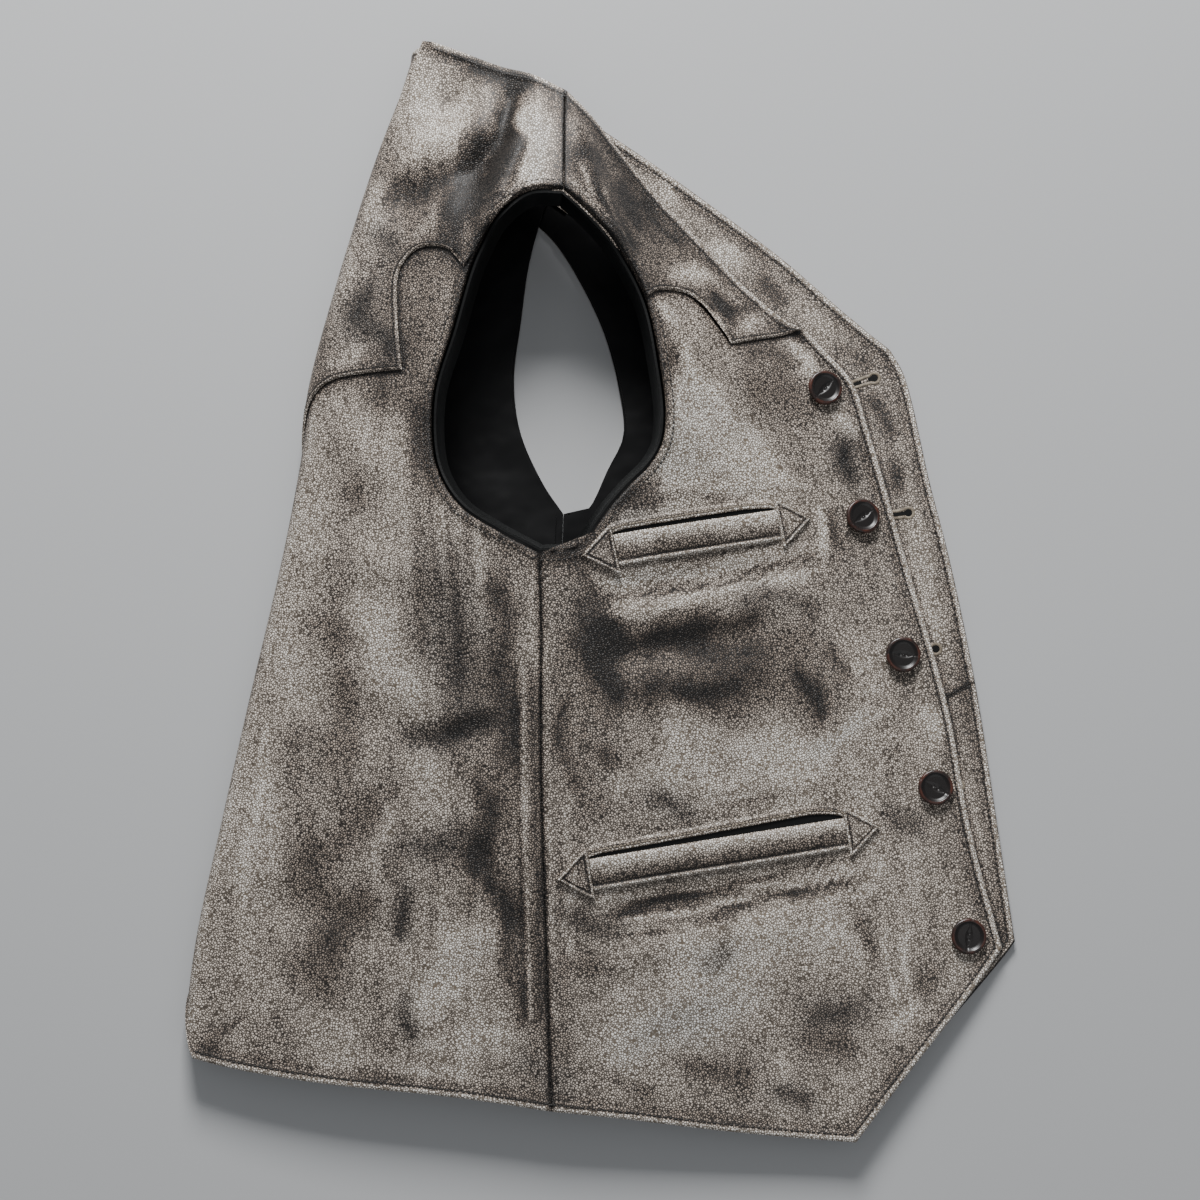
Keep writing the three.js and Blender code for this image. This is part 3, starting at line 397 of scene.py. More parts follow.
def height(x, y):
    """Height of the upper layer's skin: fold to ridge, ridge to front edge, plus the folds."""
    ridge_x, ridge_z = section["ridgeX"](y), section["ridgeZ"](y)
    fold_x, edge_x = section["foldX"](y), section["edgeX"](y)
    back_width, front_width = ridge_x - fold_x, edge_x - ridge_x
    t_back = np.clip((x - fold_x) / back_width, 0, 1)
    t_front = np.clip((x - ridge_x) / front_width, 0, 1)
    back = hermite(t_back, back_width, section["foldZ"](y), ridge_z, section["foldRise"](y), 0)
    front = hermite(t_front, front_width, ridge_z, section["edgeZ"](y), 0, 0)
    calm = np.where(x < ridge_x, np.clip((x - fold_x) / FOLD_CALM, 0, 1), 1)
    relief = strokes(FOLDS + CREASES, x, y) + DRAG_HEIGHT * drag_lines(x, y)
    return np.where(x < ridge_x, back, front) + calm * relief


def on_top(x, y, out=0.0):
    """Point of the right half's skin, moved out along the normal of the height field."""
    step = 0.5
    x, y = np.asarray(x, float), np.asarray(y, float)
    across = (height(x - step, y) - height(x + step, y)) / (2 * step)
    along = (height(x, y - step) - height(x, y + step)) / (2 * step)
    normal = np.stack(np.broadcast_arrays(across, along, 1.0), -1)
    normal /= np.linalg.norm(normal, axis=-1, keepdims=True)
    skin = np.stack(np.broadcast_arrays(x, y, height(x, y)), -1)
    return skin + normal * np.asarray(out, float)[..., None]


def roll(y):
    """Lean where the skin leaves the fold's roll, the roll's radius and its axis."""
    lean = np.arctan(section["foldRise"](y))
    radius = section["foldZ"](y) / (1 + np.cos(lean))
    return lean, radius, section["foldX"](y) + radius * np.sin(lean)


def on_back(s, y, out=0.0):
    """Point of the unrolled back: s is x on the upper layer, then runs round the fold and flat."""
    s, y, out = np.broadcast_arrays(np.asarray(s, float), y, out)
    fold_x = section["foldX"](y)
    lean, radius, axis_x = roll(y)
    angle = lean + (fold_x - s) / radius
    reach = radius + out
    top = on_top(np.maximum(s, fold_x), y, out)
    bend = np.stack([axis_x - reach * np.sin(angle), y, radius + reach * np.cos(angle)], -1)
    flat = np.stack([axis_x + (angle - np.pi) * radius, y, -out], -1)
    below = np.where((angle > np.pi)[..., None], flat, bend)
    return np.where((s >= fold_x)[..., None], top, below)


def on_flat(x, y, out=0.0):
    """Point of the flat left half, moved down from its underside by out."""
    return np.stack(np.broadcast_arrays(np.asarray(x, float), y, -np.asarray(out, float)), -1)


def patch(left, right, bottom, top):
    """Plan place inside four curves: rows run straight across and bend near the ends."""
    def place(u, v):
        u, v = np.broadcast_arrays(u, v)
        w = u[..., None]
        row = left(v) * (1 - w) + right(v) * w
        low = bottom(u) - (left(0.0) * (1 - w) + right(0.0) * w)
        high = top(u) - (left(1.0) * (1 - w) + right(1.0) * w)
        return row + (1 - v[..., None]) ** FADE * low + v[..., None] ** FADE * high
    return place


def stops(length, step, marks, edge):
    """Stops from 0 to 1 along each length, close together near both ends and even between."""
    length = np.asarray(length, float)[..., None]
    typical = float(np.mean(length))
    start = edge / length
    knots = [start[..., -1:], *[np.full_like(length, mark) for mark in marks], 1 - start[..., -1:]]
    shares = [0, *marks, 1]
    parts = [start[..., :-1]]
    for k in range(len(knots) - 1):
        n = max(round((shares[k + 1] - shares[k]) * typical / step), 1)
        parts.append(knots[k] + (knots[k + 1] - knots[k]) * (np.arange(n) / n))
    parts += [knots[-1], (1 - start[..., :-1])[..., ::-1]]
    return np.concatenate(parts, -1)


def grid_of(place, step, marks_v=(), marks_u=(), edge_u=EDGE_STEPS, edge_v=EDGE_STEPS,
            length=PANEL_LENGTH):
    """Grid of plan places in a patch, and its v stops, finer under the turned edges."""
    v = stops(length, step, marks_v, edge_v)[:, None]
    width = np.linalg.norm(place(1.0, v) - place(0.0, v), axis=-1)[:, 0]
    u = stops(width, step, marks_u, edge_u)
    return place(u, v), v


def clearance(places, paths, chunk=3000):
    """Plan distance from each place to the nearest stretch of the given sampled paths."""
    a = np.vstack([path[:-1] for path in paths])
    along = np.vstack([np.diff(path, axis=0) for path in paths])
    length2 = np.maximum((along ** 2).sum(-1), 1e-9)
    flat = places.reshape(-1, 2)
    found = np.empty(len(flat))
    for k in range(0, len(flat), chunk):
        gap = flat[k:k + chunk, None] - a[None]
        t = np.clip((gap * along).sum(-1) / length2, 0, 1)
        found[k:k + chunk] = np.sqrt(((gap - t[..., None] * along) ** 2).sum(-1).min(1))
    return found.reshape(places.shape[:-1])


def lip_band(d):
    """Raised band of a turned edge and its soft fall."""
    return LIP_RISE * np.clip((LIP_WIDTH + LIP_FALL_PAST - d) / LIP_FALL, 0, 1) ** 1.5


def lip(d):
    """Rise of a turned edge at distance d: rounded corner, flat band, stitch groove, soft fall."""
    corner = -CORNER_DROP * rounded(d)
    groove = -GROOVE_DEPTH * bell(d, GROOVE_WIDTH, STITCH_LINE)
    puff = 0.18 * bell(d, 1.0, 2.0)
    return corner + lip_band(d) + groove + puff


def drag_lines(x, y):
    """Fine uneven lines pulled out beside the pockets, along their slope, from -1 to 1."""
    across = y - DRAG_SLOPE * x
    fine = np.sin(across / 1.35 + 1.6 * np.sin(x / 31))
    line = fine * np.sin(across / 3.1 + np.sin(x / 47) + 0.8)
    return line * np.clip(strokes(DRAGS, x, y), 0, 1)


def streaks(x, y):
    """Soft uneven streaks down the back and beside the side seam, from -1 to 1."""
    line = np.sin(x / 2.3 + 1.5 * np.sin(y / 63)) * np.sin(x / 5.9 + 1.2 * np.sin(y / 41) + 0.6)
    shown = bell(x, 46, -78) * (0.55 + 0.45 * np.sin(y / 37 + 1.3 * np.sin(x / 19)))
    return line * np.where(x < 20, shown, 0)


def puckers(along, d):
    """Short uneven puckers pulled up by the hem's stitches, square to the hem."""
    wave = np.sin(along / 0.95 + 1.7 * np.sin(along / 13)) * (0.6 + 0.4 * np.sin(along / 7.3 + 1))
    return 0.2 * wave * bell(d, 3.2, 6.5)


def seam_dip(d):
    """Dip beside a sewn seam, with a low ridge of allowance past it."""
    return -SEAM_DIP * rounded(d, SEAM_WIDTH) + 0.35 * bell(d, 2.4, 5)


# Meshes

def grid_quads(rows, cols, start=0, ring=False):
    """Quads of a grid of rows by cols points."""
    i = np.arange(rows if ring else rows - 1)[:, None]
    j = np.arange(cols - 1)[None]
    following = (i + 1) % rows
    corners = [i * cols + j, i * cols + j + 1, following * cols + j + 1, following * cols + j]
    return start + np.stack(np.broadcast_arrays(*corners), -1).reshape(-1, 4)


def signed_volume(points, quads):
    """Volume inside closed quads, negative when they face inwards."""
    a, b, c, d = (points[quads[:, k]] for k in range(4))
    six = (a * np.cross(b, c)).sum() + (a * np.cross(c, d)).sum()
    return six / 6


def make(name, points, faces, materials, index=None, sharp=50, values=None):
    """Object from points in millimetres, faces, materials with a face index, and point values.

    faces is one array of faces, or a list of arrays with different numbers of corners.
    """
    parts = faces if isinstance(faces, list) else [faces]
    mesh = bpy.data.meshes.new(name)
    mesh.from_pydata(((points - CENTRE) * MM).tolist(), [],
                     [face for part in parts for face in part.tolist()])
    for material in materials:
        mesh.materials.append(material)
    if index is not None:
        mesh.polygons.foreach_set("material_index", np.asarray(index, np.int32))
    mesh.polygons.foreach_set("use_smooth", np.ones(len(mesh.polygons), bool))
    for key, value in (values or {}).items():
        layer = mesh.attributes.new(key, "FLOAT", "POINT")
        layer.data.foreach_set("value", np.asarray(value, np.float32))
    mesh.update()
    mesh.set_sharp_from_angle(angle=math.radians(sharp))
    piece = bpy.data.objects.new(name, mesh)
    bpy.context.scene.collection.objects.link(piece)
    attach(piece, "root")
    return piece


def wall(name, outer, inner, materials, values=None, ring=False):
    """Closed wall between an outer and an inner grid. The inner face takes the second material."""
    rows, cols = outer.shape[:2]
    n = rows * cols
    points = np.concatenate([outer.reshape(-1, 3), inner.reshape(-1, 3)])
    skin = grid_quads(rows, cols, 0, ring)
    lining = grid_quads(rows, cols, n, ring)[:, ::-1]
    ids = np.arange(n).reshape(rows, cols)
    loops = [ids[:, 0][::-1], ids[:, -1]]
    if ring:
        loops = [np.append(loop, loop[0]) for loop in loops]
    else:
        loops += [ids[0], ids[-1][::-1]]
    edges = [np.stack([p[:-1], p[:-1] + n, p[1:] + n, p[1:]], -1) for p in loops]
    quads = np.concatenate([skin, lining, *edges])
    index = np.zeros(len(quads), int)
    index[len(skin):len(skin) + len(lining)] = len(materials) - 1
    if signed_volume(points, quads) < 0:
        quads = quads[:, ::-1]
    doubled = {key: np.concatenate([v.ravel(), v.ravel()]) for key, v in (values or {}).items()}
    return make(name, points, quads, materials, index, values=doubled)


# Colours and nodes

def srgb(hex_code):
    """Linear colour from an sRGB hex value."""
    raw = np.array([int(hex_code[k:k + 2], 16) for k in (1, 3, 5)]) / 255
    linear = np.where(raw <= 0.04045, raw / 12.92, ((raw + 0.055) / 1.055) ** 2.4)
    return (*linear.tolist(), 1.0)


def node(tree, kind, links=None, **settings):
    """Adds a node; settings name its properties or sockets, links name sockets to feed."""
    made = tree.nodes.new(kind)
    for key, value in settings.items():
        if hasattr(made, key):
            setattr(made, key, value)
        else:
            made.inputs[key.replace("_", " ")].default_value = value
    for socket, source in (links or {}).items():
        tree.links.new(source, made.inputs[socket])
    return made


def new_material(name, **sockets):
    """Material with a Principled shader whose uniform sockets are set directly."""
    material = bpy.data.materials.new(name)
    material.use_nodes = True
    tree = material.node_tree
    shader = tree.nodes["Principled BSDF"]
    for key, value in sockets.items():
        shader.inputs[key.replace("_", " ")].default_value = value
    return material, tree, shader


def ramp(tree, source, colours):
    """Colour ramp through (position, hex colour) pairs."""
    made = node(tree, "ShaderNodeValToRGB", {0: source})
    bar = made.color_ramp.elements
    while len(bar) < len(colours):
        bar.new(0.5)
    for element, (position, colour) in zip(bar, colours):
        element.position = position
        element.color = srgb(colour)
    return made.outputs["Color"]


def math_node(tree, operation, a, b, clamp=False):
    """One step of arithmetic on two sockets or numbers."""
    made = node(tree, "ShaderNodeMath", operation=operation, use_clamp=clamp)
    for k, value in enumerate((a, b)):
        if isinstance(value, (int, float)):
            made.inputs[k].default_value = value
        else:
            tree.links.new(value, made.inputs[k])
    return made.outputs[0]


def mix_colour(tree, factor, a, b, blend="MIX"):
    """Mix of two colours, given as sockets or hex codes."""
    made = node(tree, "ShaderNodeMix", data_type="RGBA", blend_type=blend)
    for socket, value in ((0, factor), (6, a), (7, b)):
        if isinstance(value, str):
            made.inputs[socket].default_value = srgb(value)
        elif isinstance(value, (int, float)):
            made.inputs[socket].default_value = value
        else:
            tree.links.new(value, made.inputs[socket])
    return made.outputs[2]


def rubbed_leather(name, tone=0.0):
    """Pebbled cowhide, waxed dark and rubbed back by hand.

    The raised pebbles, 1.4 mm apart, are sanded from charcoal brown to pale
    greige, and the thin valleys between them keep the dark wax, so the eye
    sees a mottle of small light scales. Low places keep smoky blue-grey wax.
    """
    material, tree, shader = new_material(name, Roughness=0.5, Specular_IOR_Level=0.45)
    place = node(tree, "ShaderNodeTexCoord").outputs["Object"]
    # The rub value holds rubbing and painted highlights; the stain value holds staining and painted
    # shade.
    rub = node(tree, "ShaderNodeAttribute", attribute_name="rub").outputs["Fac"]
    stain_and_shade = node(tree, "ShaderNodeAttribute", attribute_name="stain_and_shade").outputs["Fac"]
    cool = node(tree, "ShaderNodeAttribute", attribute_name="cool").outputs["Fac"]

    wobble = node(tree, "ShaderNodeTexNoise", {"Vector": place}, Scale=420, Detail=2)
    push = node(tree, "ShaderNodeVectorMath", {0: wobble.outputs["Color"]},
                operation="MULTIPLY_ADD")
    push.inputs[1].default_value = (0.3 * MM,) * 3
    tree.links.new(place, push.inputs[2])
    bent = push.outputs[0]
    edge = node(tree, "ShaderNodeTexVoronoi", {"Vector": bent}, Scale=1 / PEBBLE,
                feature="DISTANCE_TO_EDGE")
    cell = node(tree, "ShaderNodeTexVoronoi", {"Vector": bent}, Scale=1 / PEBBLE)
    pebble = node(tree, "ShaderNodeMapRange", {"Value": edge.outputs["Distance"]},
                  From_Min=0.04, From_Max=0.30, interpolation_type="SMOOTHSTEP").outputs[0]
    shade = node(tree, "ShaderNodeSeparateColor", {"Color": cell.outputs["Color"]}).outputs[0]
    stretched = node(tree, "ShaderNodeMapping", {"Vector": place}, Scale=(1, 0.3, 1)).outputs[0]
    cloud = node(tree, "ShaderNodeTexNoise", {"Vector": stretched}, Scale=44, Detail=2)
    blotch = node(tree, "ShaderNodeTexNoise", {"Vector": place}, Scale=105, Detail=3, Roughness=0.6)
    speck = node(tree, "ShaderNodeTexNoise", {"Vector": place}, Scale=620, Detail=3, Roughness=0.7)

    uneven = math_node(tree, "ADD", blotch.outputs["Fac"], 0.5)
    wear_and_painted_shading = math_node(tree, "MULTIPLY", math_node(tree, "SUBTRACT", rub, stain_and_shade), uneven)
    for source, weight in ((cloud.outputs["Fac"], 0.62), (blotch.outputs["Fac"], 0.2),
                           (speck.outputs["Fac"], 0.06), (shade, 0.12)):
        centred = math_node(tree, "SUBTRACT", source, 0.5)
        wear_and_painted_shading = math_node(tree, "ADD", wear_and_painted_shading, math_node(tree, "MULTIPLY", centred, weight))
    wear_and_painted_shading = math_node(tree, "ADD", wear_and_painted_shading, 0.64 + tone, clamp=True)
    raised = ramp(tree, wear_and_painted_shading, ((0.0, "#3d3630"), (0.2, "#6c6056"), (0.45, "#ad9e90"),
                               (0.70, "#e2d6c9"), (1.0, "#fffaf2")))
    sunken = ramp(tree, wear_and_painted_shading, ((0.0, "#040303"), (0.5, "#1e1814"), (1.0, "#6d6153")))
    body = mix_colour(tree, pebble, sunken, raised)
    smoky = mix_colour(tree, 1.0, body, "#a9b6c2", "MULTIPLY")
    tinted = mix_colour(tree, cool, body, smoky)
    tree.links.new(tinted, shader.inputs["Base Color"])
    gloss = node(tree, "ShaderNodeMapRange", {"Value": wear_and_painted_shading}, To_Min=0.5, To_Max=0.58).outputs[0]
    tree.links.new(gloss, shader.inputs["Roughness"])

    grain = node(tree, "ShaderNodeBump", {"Height": pebble}, Strength=0.8, Distance=0.3 * MM)
    soft = node(tree, "ShaderNodeBump",
                {"Height": speck.outputs["Fac"], "Normal": grain.outputs[0]},
                Strength=0.4, Distance=0.3 * MM)
    tree.links.new(soft.outputs[0], shader.inputs["Normal"])
    return material


def black_satin():
    """Black polyester satin lining, woven: near black, with soft wide highlights on its creases."""
    material, tree, shader = new_material("Black satin lining, woven", Roughness=0.46,
                                          Base_Color=srgb("#060607"), Specular_IOR_Level=0.2,
                                          Sheen_Weight=0.06, Sheen_Roughness=0.4)
    place = node(tree, "ShaderNodeTexCoord").outputs["Object"]
    crease = node(tree, "ShaderNodeTexNoise", {"Vector": place}, Scale=30, Detail=2)
    weave = node(tree, "ShaderNodeTexWave", {"Vector": place}, Scale=900, wave_type="BANDS")
    soft = node(tree, "ShaderNodeBump", {"Height": crease.outputs["Fac"]},
                Strength=0.7, Distance=3.0 * MM)
    fine = node(tree, "ShaderNodeBump", {"Height": weave.outputs["Fac"], "Normal": soft.outputs[0]},
                Strength=0.12, Distance=0.1 * MM)
    tree.links.new(fine.outputs[0], shader.inputs["Normal"])
    return material


def black_leather():
    """Smooth black leather, waxed: near black with a tight soft highlight and fine grain; also the
    thin black sheets of painted shade in pocket mouths and buttonhole slits.
    """
    material, tree, shader = new_material("Black waxed leather, smooth, and painted opening shade", Roughness=0.55,
                                          Base_Color=srgb("#070808"), Specular_IOR_Level=0.22)
    place = node(tree, "ShaderNodeTexCoord").outputs["Object"]
    grain = node(tree, "ShaderNodeTexVoronoi", {"Vector": place}, Scale=700)
    fine = node(tree, "ShaderNodeBump", {"Height": grain.outputs["Distance"]},
                Strength=0.3, Distance=0.2 * MM)
    tree.links.new(fine.outputs[0], shader.inputs["Normal"])
    return material


def polished_horn():
    """Polished dark horn: almost black in the dish, red brown where the rim is thin."""
    material, tree, shader = new_material("Dark horn, turned and polished", Roughness=0.36,
                                          Coat_Weight=0.15, Coat_Roughness=0.2)
    place = node(tree, "ShaderNodeTexCoord").outputs["Object"]
    thin = node(tree, "ShaderNodeAttribute", attribute_name="rub").outputs["Fac"]
    streak = node(tree, "ShaderNodeTexNoise", {"Vector": place}, Scale=160, Detail=4)
    factor = math_node(tree, "MULTIPLY", thin, streak.outputs["Fac"])
    tree.links.new(ramp(tree, factor, ((0.0, "#0b0908"), (0.4, "#1d100c"), (0.75, "#54291a"))),
                   shader.inputs["Base Color"])
    return material


def thread(name, colour):
    """Waxed polyester thread, twisted: matt with a slight sheen."""
    material, tree, shader = new_material(name, Roughness=0.6, Sheen_Weight=0.2)
    place = node(tree, "ShaderNodeTexCoord").outputs["Object"]
    fleck = node(tree, "ShaderNodeTexNoise", {"Vector": place}, Scale=300, Detail=3)
    tree.links.new(ramp(tree, fleck.outputs["Fac"], ((0.3, colour[0]), (0.7, colour[1]))),
                   shader.inputs["Base Color"])
    return material


panel_leather = rubbed_leather("Cowhide, waxed and rubbed back")
yoke_leather = rubbed_leather("Cowhide yoke, waxed and rubbed back", -0.12)
pocket_leather = rubbed_leather("Cowhide trim, waxed and rubbed back", 0.04)
facing_leather = rubbed_leather("Cowhide facing, waxed and rubbed back", -0.02)
satin = black_satin()
black_leather_and_opening_shade = black_leather()
horn = polished_horn()
dark_thread = thread("Waxed thread, dark", ("#0b0908", "#221d19"))
pale_thread = thread("Waxed thread, sand", ("#6f6353", "#a59a88"))

# Rubbed, stained and bluish places: x0, y0, x1, y1, half width, amount. Some rubs are painted
# highlights and some stains are painted shade.
RUBS_AND_HIGHLIGHTS = (
    (-182, -9, -176, -60, 13, 0.16), (-137, -18, -112, -61, 14, 0.18),
    (-202, -124, -201, -194, 15, 0.12), (-98, -101, -84, -125, 13, 0.16),
    (-74, -206, -98, -232, 13, 0.3), (-51, -253, -98, -265, 9, 0.14),
    (-124, -124, -120, -148, 4.1, 0.2), (-126, -116, -127, -196, 2.9, 0.14),
    (-200, -225, -145, -260, 10, 0.08), (-106, 312, -100, 278, 16, 0.28),
    # The second stroke on the next line is a painted highlight on the strap right of the shoulder
    # crest, which faces the light.
    (-72, 296, -80, 282, 10, 0.16), (-38, 282, -34, 235, 8, 0.46), (-137, 241, -132, 223, 8, 0.22),
    (-150, 214, -156, 185, 7, 0.15), (-110, 210, -104, 217, 6, 0.2),
    (-138, 144, -157, 139, 5, 0.12), (-148, 108, -129, 79, 12, 0.12), (51, 189, 63, 191, 6, 0.32),
    (85, 156, 101, 168, 4.6, 0.22), (-12, 248, 6, 216, 2.3, 0.28), (-17, 233, -2, 221, 3.5, 0.2),
    (55, 101, 44, 74, 15, 0.38), (78, 92, 101, 71, 8, 0.36), (38, 167, 41, 157, 3.5, 0.28),
    (48, 148, 65, 109, 3.5, 0.25), (115, 155, 128, 140, 4.1, 0.38), (141, 112, 152, 97, 4.1, 0.25),
    (105, 67, 127, 67, 2.3, 0.25), (128, 59, 138, 22, 2.9, 0.32), (108, 8, 124, 14, 4.1, 0.2),
    (-1, 3, 97, 19, 4.6, 0.18), (-12, -19, 70, -5, 2.3, 0.15), (129, -90, 154, -75, 4.6, 0.36),
    (194, -70, 198, -77, 4.1, 0.5), (35, -82, 115, -93, 13, 0.18), (47, -218, 119, -194, 17, 0.18),
    (24, -260, 71, -242, 13, 0.28), (134, -190, 148, -209, 7, 0.18),
    (171, -249, 181, -237, 3.5, 0.28), (168, -161, 153, -176, 4.1, 0.2),
    (168, -190, 171, -242, 2.3, 0.22), (177, -185, 183, -237, 2.3, 0.18),
    (183, 23, 203, -25, 3.5, 0.14), (70, 216, 82, 209, 4.6, 0.36), (37, 256, 44, 245, 3.5, 0.3),
    # The last stroke on the next line and the first on the line after are a painted highlight along
    # the shoulder crest.
    (155, -25, 178, -97, 12, 0.08), (-69, -279, -173, -269, 4.6, 0.1), (-42, 284, -46, 240, 3, 0.3),
    (-50, 232, -62, 208, 3, 0.3), (60, 108, 96, 60, 16, 0.16), (20, -244, 90, -214, 22, 0.14),
    (2, 240, 14, 206, 1.6, 0.3), (-190, -60, -214, -200, 3, 0.14), (-20, -40, -16, -250, 2, 0.16),
    (70, -112, 130, -96, 12, 0.16), (58, 96, 66, 60, 20, 0.14), (8, -112, 60, -104, 10, 0.16),
    (150, -112, 172, -176, 8, 0.1),
)
STAINS_AND_SHADE = (
    (-91, 2, -81, -54, 17, 0.26), (-108, -87, -65, -78, 7, 0.28), (-176, -16, -146, -27, 9, 0.16),
    (-146, -48, -151, -124, 12, 0.14), (-136, -129, -177, -171, 12, 0.2),
    (-141, -181, -174, -228, 13, 0.2), (-114, -176, -112, -197, 5, 0.4),
    (-112, -241, -107, -251, 5, 0.3), (-65, -116, -70, -157, 8, 0.3),
    (-67, -157, -51, -194, 8, 0.38), (-51, -200, -46, -250, 5, 0.28), (-58, 15, -51, -110, 8, 0.3),
    (-103, -148, -88, -144, 7, 0.18), (-224, -261, -223, -265, 6, 0.22),
    (-221, -253, -207, -246, 2.3, 0.22), (-78, 315, -50, 307, 7, 0.36),
    (-55, 288, -51, 265, 6, 0.3), (-50, 261, -79, 267, 9, 0.26), (-82, 253, -105, 241, 10, 0.3),
    (-115, 243, -117, 241, 8, 0.22), (-71, 233, -89, 222, 9, 0.24), (-139, 175, -142, 163, 8, 0.26),
    (-130, 150, -126, 144, 7, 0.18), (-129, 214, -126, 204, 6, 0.16),
    (-104, 193, -111, 135, 14, 0.18), (-126, 116, -106, 104, 10, 0.18),
    (-140, 61, -139, 59, 7, 0.2), (-103, 95, -97, 58, 8, 0.22), (-13, 256, -10, 238, 4.6, 0.22),
    (1, 230, 18, 203, 4.6, 0.28), (70, 177, 88, 173, 4.6, 0.28), (1, 49, 38, 62, 5, 0.32),
    (10, 49, 101, 61, 2.3, 0.26), (77, 168, 71, 180, 5, 0.36), (42, 135, 45, 132, 4.6, 0.22),
    (90, 144, 110, 146, 6, 0.22), (94, 128, 121, 117, 13, 0.12), (147, 89, 154, 70, 6, 0.38),
    (132, 57, 144, 30, 2.9, 0.28), (5, -28, 55, -30, 9, 0.34), (-12, -32, 14, -57, 7, 0.3),
    (55, -21, 96, -10, 6, 0.26), (28, -61, 81, -54, 7, 0.26), (119, -43, 130, -69, 5, 0.38),
    (139, -28, 146, -52, 4.6, 0.18), (97, -2, 127, -5, 4.6, 0.18), (0, -8, 9, -66, 7, 0.26),
    (28, -25, 96, -35, 9, 0.2), (7, -97, 9, -98, 5, 0.28), (33, -124, 48, -129, 5, 0.28),
    (169, -128, 183, -133, 7, 0.22), (0, -188, 62, -176, 4.6, 0.32),
    (61, -188, 153, -164, 2.9, 0.24), (61, -218, 74, -207, 5, 0.32),
    (133, -242, 143, -244, 8, 0.32), (128, -258, 142, -265, 7, 0.22),
    (104, -293, 118, -296, 5, 0.28), (47, -274, 85, -279, 7, 0.18), (0, -276, 28, -288, 5, 0.18),
    (153, -190, 165, -218, 3.5, 0.22), (181, -233, 203, -214, 4.6, 0.14),
    (-21, -62, -18, -125, 3.5, 0.34), (-13, -15, 6, -31, 7, 0.26), (-18, -190, 6, -194, 4.6, 0.28),
    (-18, -218, 10, -222, 7, 0.14), (168, 118, 176, 105, 4.1, 0.34), (176, 82, 181, 70, 4.1, 0.34),
    (97, 193, 110, 180, 5, 0.32), (143, 151, 161, 142, 5, 0.18), (-97, 331, -36, 308, 2.3, 0.3),
    # The last two strokes on the next line and the first on the line after are painted shade in the
    # trough left of the shoulder crest.
    (-14, 15, -6, -7, 6, 0.22), (-53, 290, -57, 252, 7, 0.34), (-62, 246, -72, 222, 9, 0.34),
    (-74, 248, -84, 214, 15, 0.22), (-60, 296, -52, 300, 9, 0.2), (2, 262, 30, 202, 15, 0.16),
    (26, 232, 48, 200, 10, 0.1), (-9, 258, 4, 226, 4, 0.24), (8, 250, 26, 214, 3.5, 0.2),
    (24, 236, 44, 206, 3, 0.2), (-150, 230, -156, 190, 12, 0.1), (-28, 90, -24, 12, 3, 0.2),
    (30, -54, 104, -50, 24, 0.2), (-8, -40, -2, -130, 13, 0.16), (-88, -60, -60, -220, 22, 0.1),
    (-160, 10, -176, -120, 18, 0.08), (-40, -20, -34, -280, 6, 0.12),
    (-150, -200, -176, -260, 20, 0.08),
)
# Straight lines pressed through by the seam allowance of the side seam, same columns
PRESSED_LIGHT = ((-46, -4, -39, -288, 1.3, 0.34), (-34, 0, -26, -288, 2.2, 0.16))
PRESSED_DARK = ((-50, -4, -43, -288, 1.6, 0.34), (-41, -4, -33, -288, 1.8, 0.2))
COOLS = (
    (-91, 2, -81, -54, 20, 0.36), (-108, -87, -65, -78, 9, 0.36), (-103, -148, -88, -144, 9, 0.42),
    (-114, -176, -112, -197, 6, 0.5), (-112, -241, -107, -251, 6, 0.5),
    (-139, 175, -142, 163, 10, 0.5), (-130, 150, -126, 144, 8, 0.45),
    (-129, 214, -126, 204, 7, 0.4), (147, 89, 154, 70, 7, 0.5), (33, -124, 48, -129, 8, 0.4),
    (61, -218, 74, -207, 7, 0.45), (133, -242, 143, -244, 10, 0.42), (24, -260, 71, -242, 12, 0.3),
    (55, 101, 44, 74, 14, 0.22), (8, 44, 23, 47, 9, 0.35), (129, -90, 154, -75, 5, 0.25),
    (-13, -15, 6, -31, 8, 0.3), (-18, -190, 6, -194, 7, 0.3), (104, -293, 118, -296, 7, 0.35),
    (-38, 282, -34, 235, 6, 0.25), (82, -4, 118, -3, 9, 0.28), (-40, -270, -23, -288, 8, 0.3),
    (169, -128, 183, -133, 7, 0.28), (-97, 331, -36, 308, 2.3, 0.3),
)


